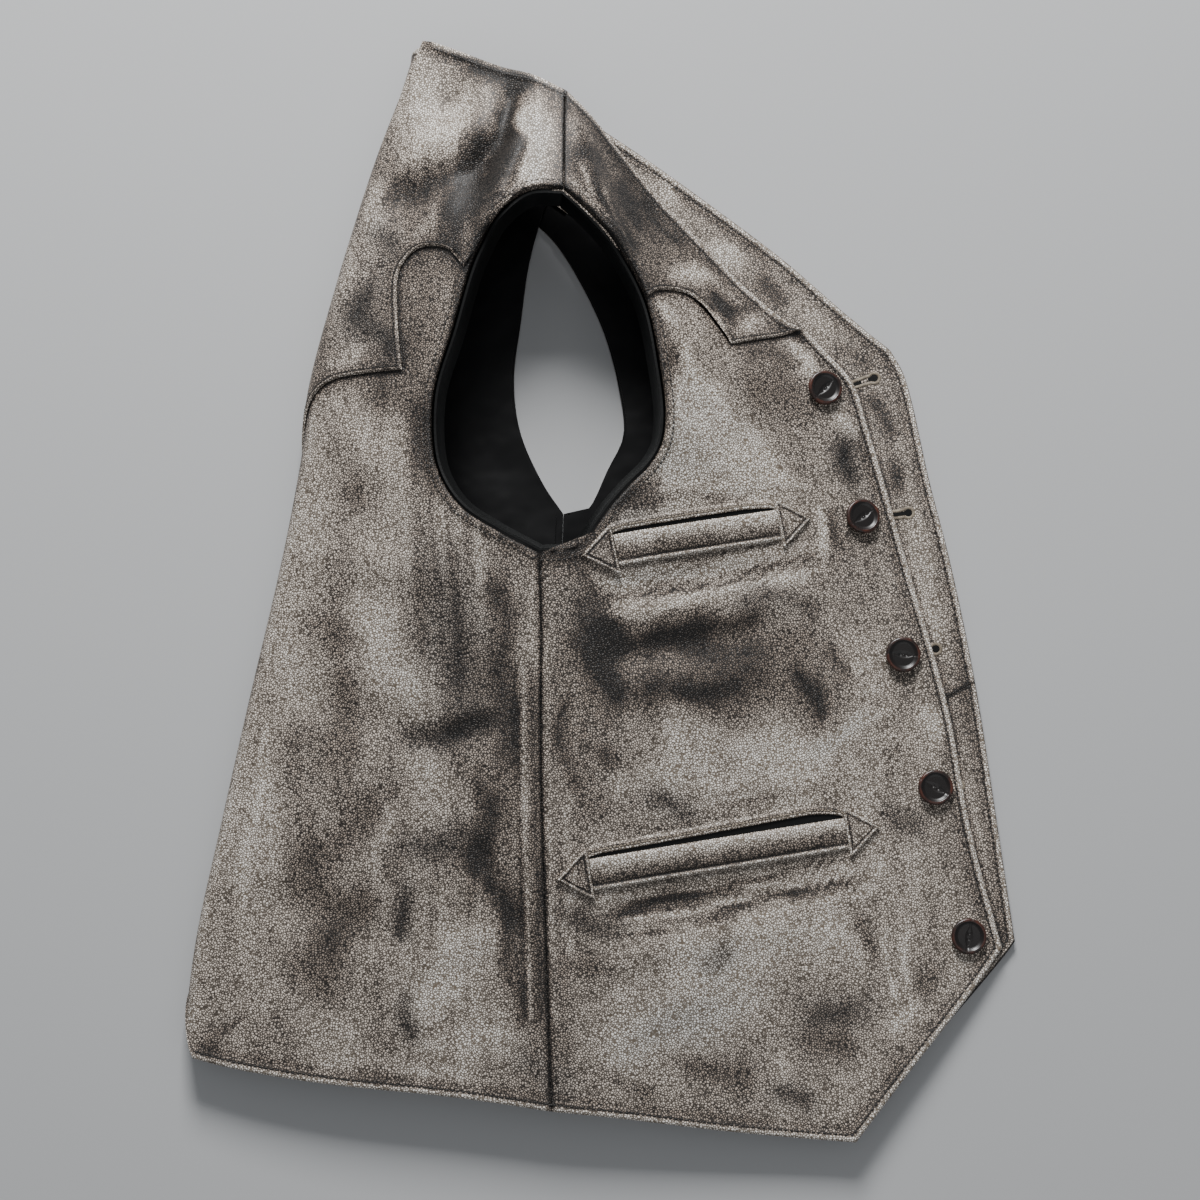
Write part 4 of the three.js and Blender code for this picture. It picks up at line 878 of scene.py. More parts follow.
def wear_and_painted_light(s, y, rim=FAR, hole=FAR, seams=FAR, extra_rub_and_highlight=0.0, extra_stain_and_shade=0.0):
    """Rub, stain and cool values at plan places, from the strokes, edges and seams, with painted
    highlights among the rubs and painted shade among the stains.

    rim is the distance to a pale rubbed edge, hole to the dark armhole edge and
    seams to a sewn seam. Each adds bells or a soft step in that distance.
    """
    swept_s = s + SWEEP * np.sin(y / 8.7 + 1.3 * np.sin(s / 13))
    swept_y = y + SWEEP * np.sin(s / 9.1 + 1.1 * np.sin(y / 11))
    rub = RUB_AND_HIGHLIGHT_DEPTH * strokes(RUBS_AND_HIGHLIGHTS, swept_s, swept_y) + extra_rub_and_highlight
    rub = rub + 0.5 * drag_lines(s, y) + 0.2 * streaks(s, y) + strokes(PRESSED_LIGHT, s, y)
    stain_and_shade = STAIN_AND_SHADE_DEPTH * strokes(STAINS_AND_SHADE, swept_s, swept_y) + strokes(PRESSED_DARK, s, y)
    stain_and_shade = stain_and_shade + extra_stain_and_shade
    cool = np.clip(strokes(COOLS, swept_s, swept_y), 0, 0.75)
    pale = 1 / (1 + np.exp((rim - RIM_WIDTH) / RIM_FADE))
    rub = rub + 0.42 * pale
    stain_and_shade = stain_and_shade + 0.40 * bell(rim, 0.85, STITCH_LINE)
    stain_and_shade = stain_and_shade + 0.20 * bell(rim, 3, 7) + 0.34 * bell(hole, 2.2)
    stain_and_shade = stain_and_shade + 0.16 * bell(hole, 9)
    stain_and_shade = stain_and_shade + 0.62 * bell(seams, 1.2) + 0.16 * bell(seams, 11)
    rub = rub + 0.10 * bell(seams, 2.5, 5)
    return {"rub": rub, "stain_and_shade": stain_and_shade, "cool": cool}


def yoke_shadow(d):
    """Painted shadow beside a yoke's edge on the panel under it, added to the stain value."""
    return 0.22 * bell(d, 6) + 0.45 * bell(d, 1.6)


# Boundaries of the panels

back_right = shifted(chain([SIDE_SEAM, BACK_ARMHOLE], [SIDE_MARK, 1]), -SEAM_BACK)
front_left = shifted(chain([SIDE_SEAM, FRONT_ARMHOLE], [SIDE_MARK, 1]), SEAM_BACK)
shoulder = outline(SHOULDER_SEAM)


def fold_line(v):
    """Where the skin leaves the roll, at share v from hem to neck."""
    y = fold_y(v)
    return np.stack([section["foldX"](y), y], -1)


def neck_then_shoulder(neck, seam):
    """Top edge of a back panel: its neck, then down the shoulder seam."""
    neck, down = outline(neck), turned_round(outline(seam))

    def curve(u):
        u = np.asarray(u, float)
        first = neck(u / NECK_MARK)
        second = down((u - NECK_MARK) / (1 - NECK_MARK)) - np.array([SEAM_BACK, 0])
        return np.where((u <= NECK_MARK)[..., None], first, second)
    return curve


back_upper = patch(fold_line, back_right, outline(BACK_HEM),
                   neck_then_shoulder(BACK_NECK, SHOULDER_SEAM))
right_front = patch(front_left, chain([FRONT_EDGE, FRONT_NECK], [FRONT_MARK, 1]),
                    chain([FRONT_HEM, HEM_POINT], [HEM_MARK, 1]), shifted(shoulder, SEAM_BACK))


def axis_line(v):
    """Line on the floor under the roll's axis."""
    y = fold_y(v)
    return np.stack([roll(y)[2], y], -1)


hem_axis = (float(roll(-270.0)[2]), -270.0)
back_lower = patch(axis_line,
                   shifted(chain([LEFT_SIDE_SEAM, LEFT_BACK_ARMHOLE], [SIDE_MARK, 1]), -SEAM_BACK),
                   outline((hem_axis, *LEFT_BACK_HEM)),
                   neck_then_shoulder(LEFT_BACK_NECK, LEFT_SHOULDER))
left_front = patch(shifted(chain([LEFT_SIDE_SEAM, LEFT_FRONT_ARMHOLE], [SIDE_MARK, 1]), SEAM_BACK),
                   chain([LEFT_FRONT_EDGE, LEFT_FRONT_NECK], [FRONT_MARK, 1]),
                   chain([LEFT_FRONT_HEM, LEFT_HEM_POINT], [HEM_MARK, 1]),
                   shifted(outline(LEFT_SHOULDER), SEAM_BACK))

# Sampled edges for distances, stitch lines and wear
hem_back = samples(outline(BACK_HEM))
neck_back = samples(outline(BACK_NECK))
armhole_back = samples(outline(BACK_ARMHOLE))
armhole_front = samples(outline(FRONT_ARMHOLE))
side_path = samples(outline(SIDE_SEAM), 80)
shoulder_path = samples(shoulder, 40)
hem_front = samples(outline(FRONT_HEM))
hem_point = samples(outline(HEM_POINT))
edge_front = samples(outline(FRONT_EDGE))
neck_front = samples(outline(FRONT_NECK))
back_yoke_path = samples(outline(BACK_YOKE_EDGE), 120)
back_arch_path = samples(outline(BACK_YOKE_ARCH), 120)
front_arch_path = samples(outline(FRONT_YOKE_ARCH), 120)
front_yoke_path = samples(outline(FRONT_YOKE_EDGE), 80)


# Back panel: flat left half, roll at the fold and the upper half in one wall

def back_grid():
    """Unrolled places, rise, and rubbing, staining and painted light values of the whole back, from
    its flat edge to the armhole.
    """
    upper, v = grid_of(back_upper, PANEL_STEP, (SIDE_MARK,), (NECK_MARK,))
    y0 = upper[:, :1, 1]
    lean, radius, _ = roll(y0)
    turn = (np.arange(ROLL_STEPS) + 1)[None] / (ROLL_STEPS + 1)
    fade = (1 - v) ** HEM_LIFT_FADE
    lift = np.sin(np.pi * turn) ** 1.5 * HEM_LIFT_AT_EDGE + turn * HEM_LIFT_UNDER
    roll_s = upper[:, :1, 0] - (np.pi - lean) * radius * turn
    roll_y = y0 + fade * lift
    lower = back_lower(FLAT_STOPS[None], v)
    lean, radius, axis_x = roll(lower[..., 1])
    past = np.maximum(lower[..., 0] - axis_x, 0)
    flat_s = section["foldX"](lower[..., 1]) - (np.pi - lean) * radius - past
    s = np.concatenate([flat_s[:, ::-1], roll_s[:, ::-1], upper[..., 0]], 1)
    y = np.concatenate([lower[:, ::-1, 1], roll_y[:, ::-1], upper[..., 1]], 1)

    hem = clearance(upper, [hem_back])
    hole = clearance(upper, [armhole_back])
    rim = np.minimum(hem, clearance(upper, [neck_back]))
    seams = clearance(upper, [side_path, shoulder_path])
    from_hem = np.broadcast_to(v * PANEL_LENGTH, roll_s.shape)
    roll_rim = np.minimum(from_hem, PANEL_LENGTH - from_hem)
    flat_far = np.full(lower.shape[:2], FAR)
    roll_far = np.full(roll_s.shape, FAR)
    hem = np.concatenate([flat_far, from_hem[:, ::-1], hem], 1)
    rim = np.concatenate([flat_far, roll_rim[:, ::-1], rim], 1)
    hole = np.concatenate([flat_far, roll_far, hole], 1)
    seams = np.concatenate([flat_far, roll_far, seams], 1)
    shown = np.concatenate([0 * flat_far, (turn < 0.75)[:, ::-1] * np.ones_like(roll_s),
                            np.ones(upper.shape[:2])], 1)
    rise = shown * (lip(np.minimum(rim, hole)) + seam_dip(seams) + puckers(s, hem))
    yoke = clearance(np.stack([s, y], -1), [back_yoke_path, back_arch_path])
    fold_line_x = section["foldX"](y)
    # Painted highlight along the top of the roll at the fold, painted shade where the roll turns
    # under, and painted shadow beside the yoke's edges.
    fold_highlight = 0.16 * bell(s - fold_line_x, 4, -6)
    fold_shade = 0.30 * np.clip((fold_line_x - 8 - s) / 16, 0, 1)
    values = wear_and_painted_light(s, y, rim, hole, seams, fold_highlight, yoke_shadow(yoke) + fold_shade)
    return s, y, rise, values


s, y, rise, values = back_grid()
back = wall("back_leather", on_back(s, y, rise), on_back(s, y, np.full_like(s, -LEATHER)),
            [panel_leather, satin], values)
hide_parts("back_panel")


# Right front

place, _ = grid_of(right_front, PANEL_STEP, (SIDE_MARK, FRONT_MARK), (HEM_MARK,))
hem = clearance(place, [hem_front, hem_point])
rim = np.minimum(hem, clearance(place, [edge_front, neck_front]))
hole = clearance(place, [armhole_front])
seams = clearance(place, [side_path, shoulder_path])
rise = lip(np.minimum(rim, hole)) + seam_dip(seams) + puckers(place[..., 0], hem)
yoke = clearance(place, [front_arch_path, front_yoke_path])
# Painted shadow beside the front yoke's edges.
values = wear_and_painted_light(place[..., 0], place[..., 1], rim, hole, seams, 0.0, yoke_shadow(yoke))
front = wall("right_front_leather", on_top(place[..., 0], place[..., 1], rise),
             on_top(place[..., 0], place[..., 1], np.full_like(rise, -LEATHER)),
             [panel_leather, satin], values)
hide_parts("right_front")


# Left front, flat, with its lining side up

place, _ = grid_of(left_front, LEFT_STEP, (SIDE_MARK, FRONT_MARK), (HEM_MARK,), NO_EDGE, NO_EDGE)
left = wall("left_front_leather", on_flat(place[..., 0], place[..., 1], 0.0),
            on_flat(place[..., 0], place[..., 1], -LEATHER), [panel_leather, satin],
            wear_and_painted_light(place[..., 0], place[..., 1]))
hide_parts("left_front")


# Yokes, laid over the panels

def laid_yoke(name, skin, place, neck_path, hole_path, own_paths):
    """Yoke on a panel: outer face rounded down at its edges, plain inner face, worn rim.

    own_paths are its own turned edges. It rises with the panel's lip at neck and armhole.
    """
    s, y = place[..., 0], place[..., 1]
    neck, hole = clearance(place, [neck_path]), clearance(place, [hole_path])
    seams, own = clearance(place, [shoulder_path]), clearance(place, own_paths)
    edge = np.minimum(neck, hole)
    base = lip_band(edge)
    drop = np.minimum(np.minimum(edge, seams), own)
    outer = LAY_GAP + YOKE_LEATHER - (YOKE_LEATHER - 0.25) * rounded(drop)
    outer = outer + 0.25 * bell(own, 0.8, 1.1)
    outer = outer - 0.3 * bell(own, 0.45, YOKE_STITCH_LINE) + base
    inner = np.full_like(outer, LAY_GAP) + base
    values = wear_and_painted_light(s, y, neck, hole, seams, 0.30 * bell(own, 1.3),
                  0.5 * bell(own, 0.5, YOKE_STITCH_LINE) + 0.1 * bell(own, 3, 5))
    return wall(name, skin(s, y, outer), skin(s, y, inner), [yoke_leather, satin], values)


def left_of_back_yoke(v):
    """Fold side of the back yoke, from under the roll's edge up to the neck."""
    share = np.interp(v, (0, 0.30, BACK_YOKE_MARK, 1), (0, 0.35, 0.70, 1))
    y = BACK_YOKE_LOW + (BACK_YOKE_HIGH - BACK_YOKE_LOW) * share
    x = section["foldX"](y) - BACK_YOKE_UNDER * (1 - share) - BACK_YOKE_LEAN * share
    return np.stack([x, y], -1)


back_yoke = patch(left_of_back_yoke,
                  chain([BACK_YOKE_ARCH, BACK_YOKE_HOLE], [BACK_YOKE_MARK, 1]),
                  outline(BACK_YOKE_EDGE), neck_then_shoulder(BACK_YOKE_NECK, SHOULDER_SEAM))
place, _ = grid_of(back_yoke, YOKE_STEP, (BACK_YOKE_MARK,), (NECK_MARK,), length=240)
back_yoke_piece = laid_yoke("back_yoke_leather", on_back, place, neck_back, armhole_back,
                            [back_yoke_path, back_arch_path])
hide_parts("back_yoke")

front_yoke = patch(outline(FRONT_YOKE_HOLE), outline(FRONT_YOKE_NECK),
                   chain([FRONT_YOKE_ARCH, FRONT_YOKE_EDGE], [FRONT_YOKE_MARK, 1]),
                   shifted(shoulder, SEAM_BACK))
place, _ = grid_of(front_yoke, YOKE_STEP, (), (FRONT_YOKE_MARK,), length=110)
front_yoke_piece = laid_yoke("right_front_yoke_leather", on_top, place, neck_front, armhole_front,
                             [front_arch_path, front_yoke_path])
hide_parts("right_front_yoke")


# Linings of the left half

def lining_sheet(name, node_name, place):
    """Flat satin sheet with a few soft raised creases."""
    x, y = place[..., 0], place[..., 1]
    crease = 1.1 * np.abs(np.sin(x / 23 + np.sin(y / 31))) * np.abs(np.cos(y / 37 + x / 90))
    top = LEATHER + GAP + LINING + crease
    piece = wall(name, on_flat(x, y, -top), on_flat(x, y, np.full_like(x, -(LEATHER + GAP))),
                 [satin])
    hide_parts(node_name)


rows = np.linspace(0.03, 0.97, 150)[:, None]
lining_sheet("back_lining_satin", "back_lining",
             back_lower(np.linspace(0.01, 0.97, 60)[None], rows))


def beside_facing(t, v):
    """Places from the side seam to the facing's inner edge."""
    width = np.linalg.norm(left_front(1.0, v) - left_front(0.0, v), axis=-1)
    return left_front((width - FACING_WIDTH - GAP) / width * t, v)


lining_sheet("left_front_lining_satin", "left_front_lining",
             beside_facing(np.linspace(0.02, 1, 50)[None], rows))


# Facing of the left front in two lengths. Its buttonholes are laid on it with the stitching

def in_facing(t, v):
    """Places across the facing, t from its inner edge to the front edge."""
    width = np.linalg.norm(left_front(1.0, v) - left_front(0.0, v), axis=-1)
    return left_front(1 - FACING_WIDTH / width * (1 - t), v)


left_edges = [samples(outline(LEFT_FRONT_EDGE)), samples(outline(LEFT_FRONT_NECK)),
              samples(outline(LEFT_HEM_POINT)), samples(outline(LEFT_FRONT_HEM))]


def keyhole(x, y, turn, grow=0.0):
    """Plan outline of a buttonhole: a slit with a round eye at its front end."""
    a = math.radians(turn)
    slit, eye = HOLE_SLIT / 2 + grow, HOLE_EYE + grow
    mouth = np.pi - math.asin(slit / eye) - 0.15
    round_eye = np.linspace(-mouth, mouth, KEYHOLE_POINTS - 2)
    back_end = -HOLE_LENGTH / 2 - grow
    along = np.concatenate([[back_end], HOLE_LENGTH / 2 + eye * np.cos(round_eye), [back_end]])
    up = np.concatenate([[-slit], eye * np.sin(round_eye), [slit]])
    return np.stack([x + math.cos(a) * along - math.sin(a) * up,
                     y + math.sin(a) * along + math.cos(a) * up], -1)


def facing_height(x, y, free):
    """Top of the facing: a lip at its free edge and soft ridges beside the right front's edge."""
    edge = np.array(FRONT_EDGE, float)
    shown = np.clip((x - np.interp(y, edge[:, 1], edge[:, 0]) - 3) / 8, 0, 1)
    wave = 0.7 * shown * (np.sin(x / 2.6 + y / 38) * 0.5 + 0.5)
    return LEATHER + GAP + FACING_LEATHER + 0.9 * lip(free) + wave


def on_facing(x, y, out):
    """Point above the facing by out."""
    free = clearance(np.stack([x, y], -1), left_edges)
    return np.stack([x, y, facing_height(x, y, free) + out], -1)


def facing_piece(name, node_name, low, high):
    """One length of the facing between two heights, whole, without its buttonholes."""
    v_all = np.linspace(0, 1, 600)
    y_edge = in_facing(np.full_like(v_all, 0.5), v_all)[:, 1]
    v0, v1 = np.interp([low, high], y_edge, v_all)
    v = np.linspace(v0, v1, max(int((v1 - v0) * PANEL_LENGTH / FACING_STEP), 20))[:, None]
    t = np.concatenate([np.linspace(0, 0.80, 18), 1 - EDGE_STEPS / FACING_WIDTH])
    t = np.sort(t)[None]
    place = in_facing(t, v)
    free = clearance(place, left_edges)
    seam = np.minimum(np.abs(v - v0), np.abs(v - v1)) * PANEL_LENGTH + 0 * t
    seam = np.where((v0 > 0.01) | (v1 < 0.99), seam, FAR)
    beside = clearance(place, [edge_front, neck_front])
    # Painted shadow of the right front's edge on the facing beside it, and the facing's dark waxed
    # outer edge.
    values = wear_and_painted_light(place[..., 0], place[..., 1], free, FAR, seam, 0.06,
                  0.6 * bell(beside, 1.7) + 0.9 * bell(free, 0.5))
    x, y = place[..., 0], place[..., 1]
    top = facing_height(x, y, free)
    piece = wall(name, on_flat(x, y, -top), on_flat(x, y, np.full_like(x, -(LEATHER + GAP))),
                 [facing_leather, black_leather_and_opening_shade], values)
    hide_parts(node_name)


facing_piece("left_facing_upper_leather", "left_facing_upper",
             FACING_SEAM_Y + GAP / 2, 420)
facing_piece("left_facing_lower_leather", "left_facing_lower",
             -400, FACING_SEAM_Y - GAP / 2)


# Band of black leather inside the right armhole

loop = np.vstack([samples(outline(BACK_ARMHOLE), 161)[1:],
                  samples(outline(FRONT_ARMHOLE), 161)[::-1][1:]])


def armhole_band():
    """Ring that turns down inside the armhole's edge: a section carried round the loop."""
    tangent = np.roll(loop, -2, 0) - np.roll(loop, 2, 0)
    normal = np.stack([-tangent[:, 1], tangent[:, 0]], -1)
    normal /= np.linalg.norm(normal, axis=1, keepdims=True)
    flip = ((HOLE_CENTRE - loop) * normal).sum(1) < 0
    normal[flip] *= -1
    x, y = loop[:, 0], loop[:, 1]
    reach = [((on_top(x, y, out)[:, :2] - loop) * normal).sum(1) for out in (-LEATHER, 0.9)]
    clear = np.maximum(np.maximum(*reach), 0)
    kernel = np.ones(9) / 9
    clear = np.convolve(np.concatenate([clear[-4:], clear, clear[:4]]), kernel, "valid") + BAND_GAP
    t = np.linspace(0, 1, 12)[None]
    z = height(x, y)[:, None] - BAND_DROP * t

    def side(start):
        inward = clear[:, None] + start + BAND_LEAN * t ** 2
        xy = loop[:, None] + normal[:, None] * inward[..., None]
        return np.concatenate([xy, z[..., None]], -1)
    return wall("right_armhole_band_leather", side(BAND_THICK), side(0.0), [black_leather_and_opening_shade], ring=True)


band = armhole_band()
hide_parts("right_armhole_band")


# Pockets

def pocket_frame(pocket):
    """Length of the welt and a function from (along, up) to plan places."""
    x0, y0, x1, y1 = pocket
    length = math.hypot(x1 - x0, y1 - y0)
    ax, ay = (x1 - x0) / length, (y1 - y0) / length
    return length, lambda along, up: (x0 + ax * along - ay * up, y0 + ay * along + ax * up)


def mouth_width(along, length, gape):
    """Open width of a pocket mouth in mm: growing towards the front, closing at both tabs."""
    open_part = MOUTH_OPEN + gape * np.clip(along / length, 0, 1) ** 1.3
    closing = (np.clip((length - along) / MOUTH_CLOSES, 0, 1) ** 0.6
               * np.clip(along / MOUTH_OPENS, 0, 1) ** 0.5)
    return MOUTH_MIN + open_part * closing


def welt(name, node_name, pocket, gape):
    """Welt strip: piped lower rim, soft pad, rounded top edge, black mouth of painted shade and
    stitched lip.
    """
    length, place = pocket_frame(pocket)
    half = WELT_HEIGHT / 2
    up = np.array([-half - 1.6, -half - 1.3, -half - 0.6, -half + 0.2, -half + 0.9, -half + 1.5,
                   -half + 2.2, -half + 3.4, -half + 5, 0, 2, 4, half - 2.6, half - 1.6, half - 0.8,
                   half - 0.2, half + 0.1])
    rise = np.array([0.5, 1.1, 1.75, 1.95, 1.7, 1.15, 1.15, 1.7, 2.1, 2.4, 2.5, 2.55, 2.5, 2.3,
                     1.8, 1.0, 0.55])
    along = np.linspace(0, length, int(length / 1.3))
    a, b = np.meshgrid(along, up, indexing="ij")
    swell = 0.35 * np.sin(a / length * np.pi) ** 0.5
    out = rise[None] + swell * (rise[None] > 1.6)
    x, y = place(a, b)
    values = wear_and_painted_light(x, y)
    # Painted highlight along the welt's top edge and painted shade over its lower half, as the pad
    # is lit from above; a paler line along the piping and a dark line at its stitching.
    values["rub"] += 0.42 * bell(b - half, 2.6, -2.4) + 0.5 * bell(b + half, 1.1, -0.4)
    values["stain_and_shade"] += 0.6 * bell(b + half, 0.9, 1.9) + 0.34 * bell(b, 3.4, -3)
    piece = wall(name, on_top(x, y, out), on_top(x, y, np.full_like(out, 0.4)),
                 [pocket_leather], values)
    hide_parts(node_name)
    # The mouth is a thin black sheet laid on the panel where the pocket's opening is in shade:
    # painted shade.
    mouth_up = np.linspace(0, 1, 6)
    a, t = np.meshgrid(along, mouth_up, indexing="ij")
    wide = mouth_width(a, length, gape) + 0.1
    x, y = place(a, half + 0.1 + t * wide)
    mouth = wall(name.replace("welt_leather", "mouth"), on_top(x, y, 0.32 + 0 * a),
                 on_top(x, y, 0.08 + 0 * a), [black_leather_and_opening_shade])
    lip_up = np.array([0, 0.2, 0.5, 1.0, 1.8, 2.5, 3.2, 4.2, 5.4])
    lip_rise = np.array([0.5, 1.0, 1.35, 1.45, 1.3, 1.05, 1.1, 0.8, 0.15])
    a, b = np.meshgrid(along, lip_up, indexing="ij")
    wide = mouth_width(a, length, gape)
    x, y = place(a, half + wide + b)
    values = wear_and_painted_light(x, y)
    values["rub"] += 0.30 * bell(b, 0.9, 0.9)
    values["stain_and_shade"] += 0.5 * bell(b, 0.4) + 0.5 * bell(b, 0.8, 2.5)
    edge = wall(name.replace("welt_leather", "lip_leather"), on_top(x, y, lip_rise[None] + 0 * a),
                on_top(x, y, 0.05 + 0 * a), [panel_leather], values)


def tab(node_name, base_low, base_high, tip):
    """Arrow tab: a triangle of leather with a thin raised rim and a tooled line inside it."""
    corners = base_low, base_high, tip = np.array([base_low, base_high, tip], float)
    paths = [np.stack([corners[k], corners[(k + 1) % 3]]) for k in range(3)]
    v = np.linspace(0, 1, 44)[:, None]
    u = np.linspace(0, 1, 44)[None]
    blunt = (base_high - base_low) * 0.02
    start = base_low + (base_high - base_low) * v[..., None]
    end = tip + blunt * (v[..., None] - 0.5)
    place = start * (1 - u[..., None]) + end * u[..., None]
    d = clearance(place, paths)
    out = LAY_GAP + 1.9 - 1.3 * rounded(d, 0.8)
    out = out + 0.25 * bell(d, 0.6, 0.9) - 0.45 * bell(d, 0.6, 2.1)
    x, y = place[..., 0], place[..., 1]
    values = wear_and_painted_light(x, y)
    values["rub"] += 0.42 * bell(d, 0.8, 0.8)
    values["stain_and_shade"] += 0.6 * bell(d, 0.7, 2.2) + 0.12
    piece = wall(f"{node_name}_leather", on_top(x, y, out),
                 on_top(x, y, np.full_like(out, LAY_GAP - 0.1)), [pocket_leather], values)
    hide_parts(node_name)


for pocket_name, pocket in POCKETS.items():
    welt(f"{pocket_name}_pocket_welt_leather", f"{pocket_name}_pocket_welt", pocket,
         POCKET_GAPES[pocket_name])
    length, place_on = pocket_frame(pocket)
    ends = {"left": ((-GAP, -TAB_HEIGHT / 2), (-GAP, TAB_HEIGHT / 2), (-TAB_LENGTH, 0)),
            "right": ((length + GAP, TAB_HEIGHT / 2), (length + GAP, -TAB_HEIGHT / 2),
                      (length + TAB_LENGTH, 0))}
    for side, corners in ends.items():
        tab(f"{pocket_name}_pocket_tab_{side}", *[place_on(*corner) for corner in corners])


# Buttons

def button(k, x, y, turn):
    """Turned disc: rounded rim, dished face, an eye-shaped slot with two thread holes."""
    angle = np.linspace(0, 2 * np.pi, 73)[:-1][:, None]
    r = BUTTON_RADIUS * np.concatenate([np.linspace(0.02, 0.66, 30), np.linspace(0.70, 0.97, 12),
                                        [0.985, 1.0, 1.0]])[None]
    share = r / BUTTON_RADIUS
    px, py = r * np.cos(angle), r * np.sin(angle)
    dish = np.interp(share, DISH_AT, DISH_HEIGHT)
    eye = np.clip(1 - (px / EYE_HALF_LENGTH) ** 2, 0, 1) * EYE_HALF_WIDTH
    inside = np.clip(1.15 - np.abs(py) / np.maximum(eye, 0.05), 0, 0.6) / 0.6
    holes = sum(np.exp(-((px - side * THREAD_HOLE_OFFSET) ** 2 + py ** 2) / 0.7)
                for side in (-1, 1))
    z = BUTTON_THICK * dish - EYE_DEPTH * inside - THREAD_HOLE_DEPTH * np.minimum(holes, 1)
    z[:, -1] = BUTTON_THICK * 0.55
    top = np.stack([px, py, z], -1)
    under_z = 0.05 + BUTTON_THICK * np.clip((share - 0.8) / 0.2, 0, 1) ** 2 * 0.42 + 0 * px
    below = np.stack([px, py, under_z], -1)
    centres = [[0, 0, BUTTON_THICK * 0.62 - 0.75], [0, 0, 0.05]]
    points = np.concatenate([top.reshape(-1, 3), below.reshape(-1, 3), centres])
    rows, cols = top.shape[:2]
    n = rows * cols
    skin = grid_quads(rows, cols, 0, True)
    under = grid_quads(rows, cols, n, True)[:, ::-1]
    ids = np.arange(rows) * cols
    following = np.roll(ids, -1)
    here, ahead = ids + cols - 1, following + cols - 1
    rim = np.stack([here, here + n, ahead + n, ahead], -1)
    centre_top = np.stack([np.full(rows, 2 * n), ids, following], -1)
    centre_low = np.stack([np.full(rows, 2 * n + 1), following + n, ids + n], -1)
    normal_step = BUTTON_RADIUS * 0.8
    slope_x = (height(x + normal_step, y) - height(x - normal_step, y)) / (2 * normal_step)
    slope_y = (height(x, y + normal_step) - height(x, y - normal_step)) / (2 * normal_step)
    up = np.array([-slope_x, -slope_y, 1.0])
    up /= np.linalg.norm(up)
    a = math.radians(turn)
    east = np.array([math.cos(a), math.sin(a), 0.0])
    east -= up * (east @ up)
    east /= np.linalg.norm(east)
    north = np.cross(up, east)
    ring = np.linspace(0, 2 * np.pi, 25)
    around = height(x + normal_step * np.cos(ring), y + normal_step * np.sin(ring))
    around = around - slope_x * normal_step * np.cos(ring) - slope_y * normal_step * np.sin(ring)
    lift = max(float(around.max()), float(height(np.array(x), np.array(y)))) + LIP_RISE + 0.35
    base = np.array([x, y, lift])
    axes = np.stack([east, north, up])
    placed = base + points @ axes
    thin = np.broadcast_to(np.clip((share - 0.74) / 0.12, 0.15, 1), px.shape).ravel()
    rubs = np.concatenate([thin, thin, [0.1, 0.1]])
    piece = make(f"button_{k}_horn", placed, [skin, under, rim, centre_top, centre_low], [horn],
                 sharp=80, values={"rub": rubs})
    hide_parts(f"button_{k}")


for k, row in enumerate(BUTTONS):
    button(k + 1, *row)


# Stitching

def capsules(centres, tangents, normals, length, radius):
    """Joined short stitches: an ellipsoid of 6 by 4 faces at each centre, along its tangent."""
    sides, rings = 6, 3
    around = np.linspace(0, 2 * np.pi, sides + 1)[:-1]
    along = np.array([-0.42, 0.0, 0.42])
    wide = np.array([0.72, 1.0, 0.72])
    side = np.cross(normals, tangents)
    ring = (along[:, None, None] * length * tangents[:, None, None]
            + (wide[:, None] * np.cos(around))[..., None] * radius * side[:, None, None]
            + (wide[:, None] * np.sin(around))[..., None] * radius * normals[:, None, None])
    body = (centres[:, None, None] + ring).reshape(len(centres), -1, 3)
    tips = centres[:, None] + np.array([-0.5, 0.5])[:, None] * length * tangents[:, None]
    points = np.concatenate([body, tips], 1)
    k = np.arange(sides)
    following = (k + 1) % sides
    last, tip = (rings - 1) * sides, rings * sides
    quads = np.concatenate([np.stack([low + k, low + following, low + sides + following,
                                      low + sides + k], -1) for low in range(0, last, sides)])
    start = np.stack([np.full(sides, tip), following, k], -1)
    finish = np.stack([np.full(sides, tip + 1), last + k, last + following], -1)
    shift = (np.arange(len(centres)) * (tip + 2))[:, None, None]
    return points.reshape(-1, 3), [(part[None] + shift).reshape(-1, part.shape[1])
                                   for part in (quads, start, finish)]


def stitch_row(path, skin, out, pitch=STITCH_PITCH, length=2.2, radius=0.6, across=False):
    """Stitches at an even pitch along a plan path laid on a skin, or square across it."""
    dense = skin(path[:, 0], path[:, 1], np.full(len(path), out))
    walked = np.concatenate([[0], np.cumsum(np.linalg.norm(np.diff(dense, axis=0), axis=1))])
    at = np.arange(pitch / 2, walked[-1], pitch)

    def along(distance, lift=0.0):
        x, y = (np.interp(distance, walked, path[:, k]) for k in range(2))
        return skin(x, y, np.full(len(x), out + lift))
    centre = along(at)
    tangent = along(at + 0.4) - along(at - 0.4)
    tangent /= np.maximum(np.linalg.norm(tangent, axis=1, keepdims=True), 1e-6)
    normal = (along(at, 0.5) - centre) / 0.5
    if across:
        tangent = np.cross(normal, tangent)
    return capsules(centre, tangent, normal, length, radius)


def inset(path, towards, distance):
    """A plan path moved sideways by a distance, towards the given side (1 left, -1 right)."""
    tangent = np.gradient(path, axis=0)
    tangent /= np.maximum(np.linalg.norm(tangent, axis=1, keepdims=True), 1e-9)
    normal = np.stack([-tangent[:, 1], tangent[:, 0]], -1) * towards
    return path + normal * distance


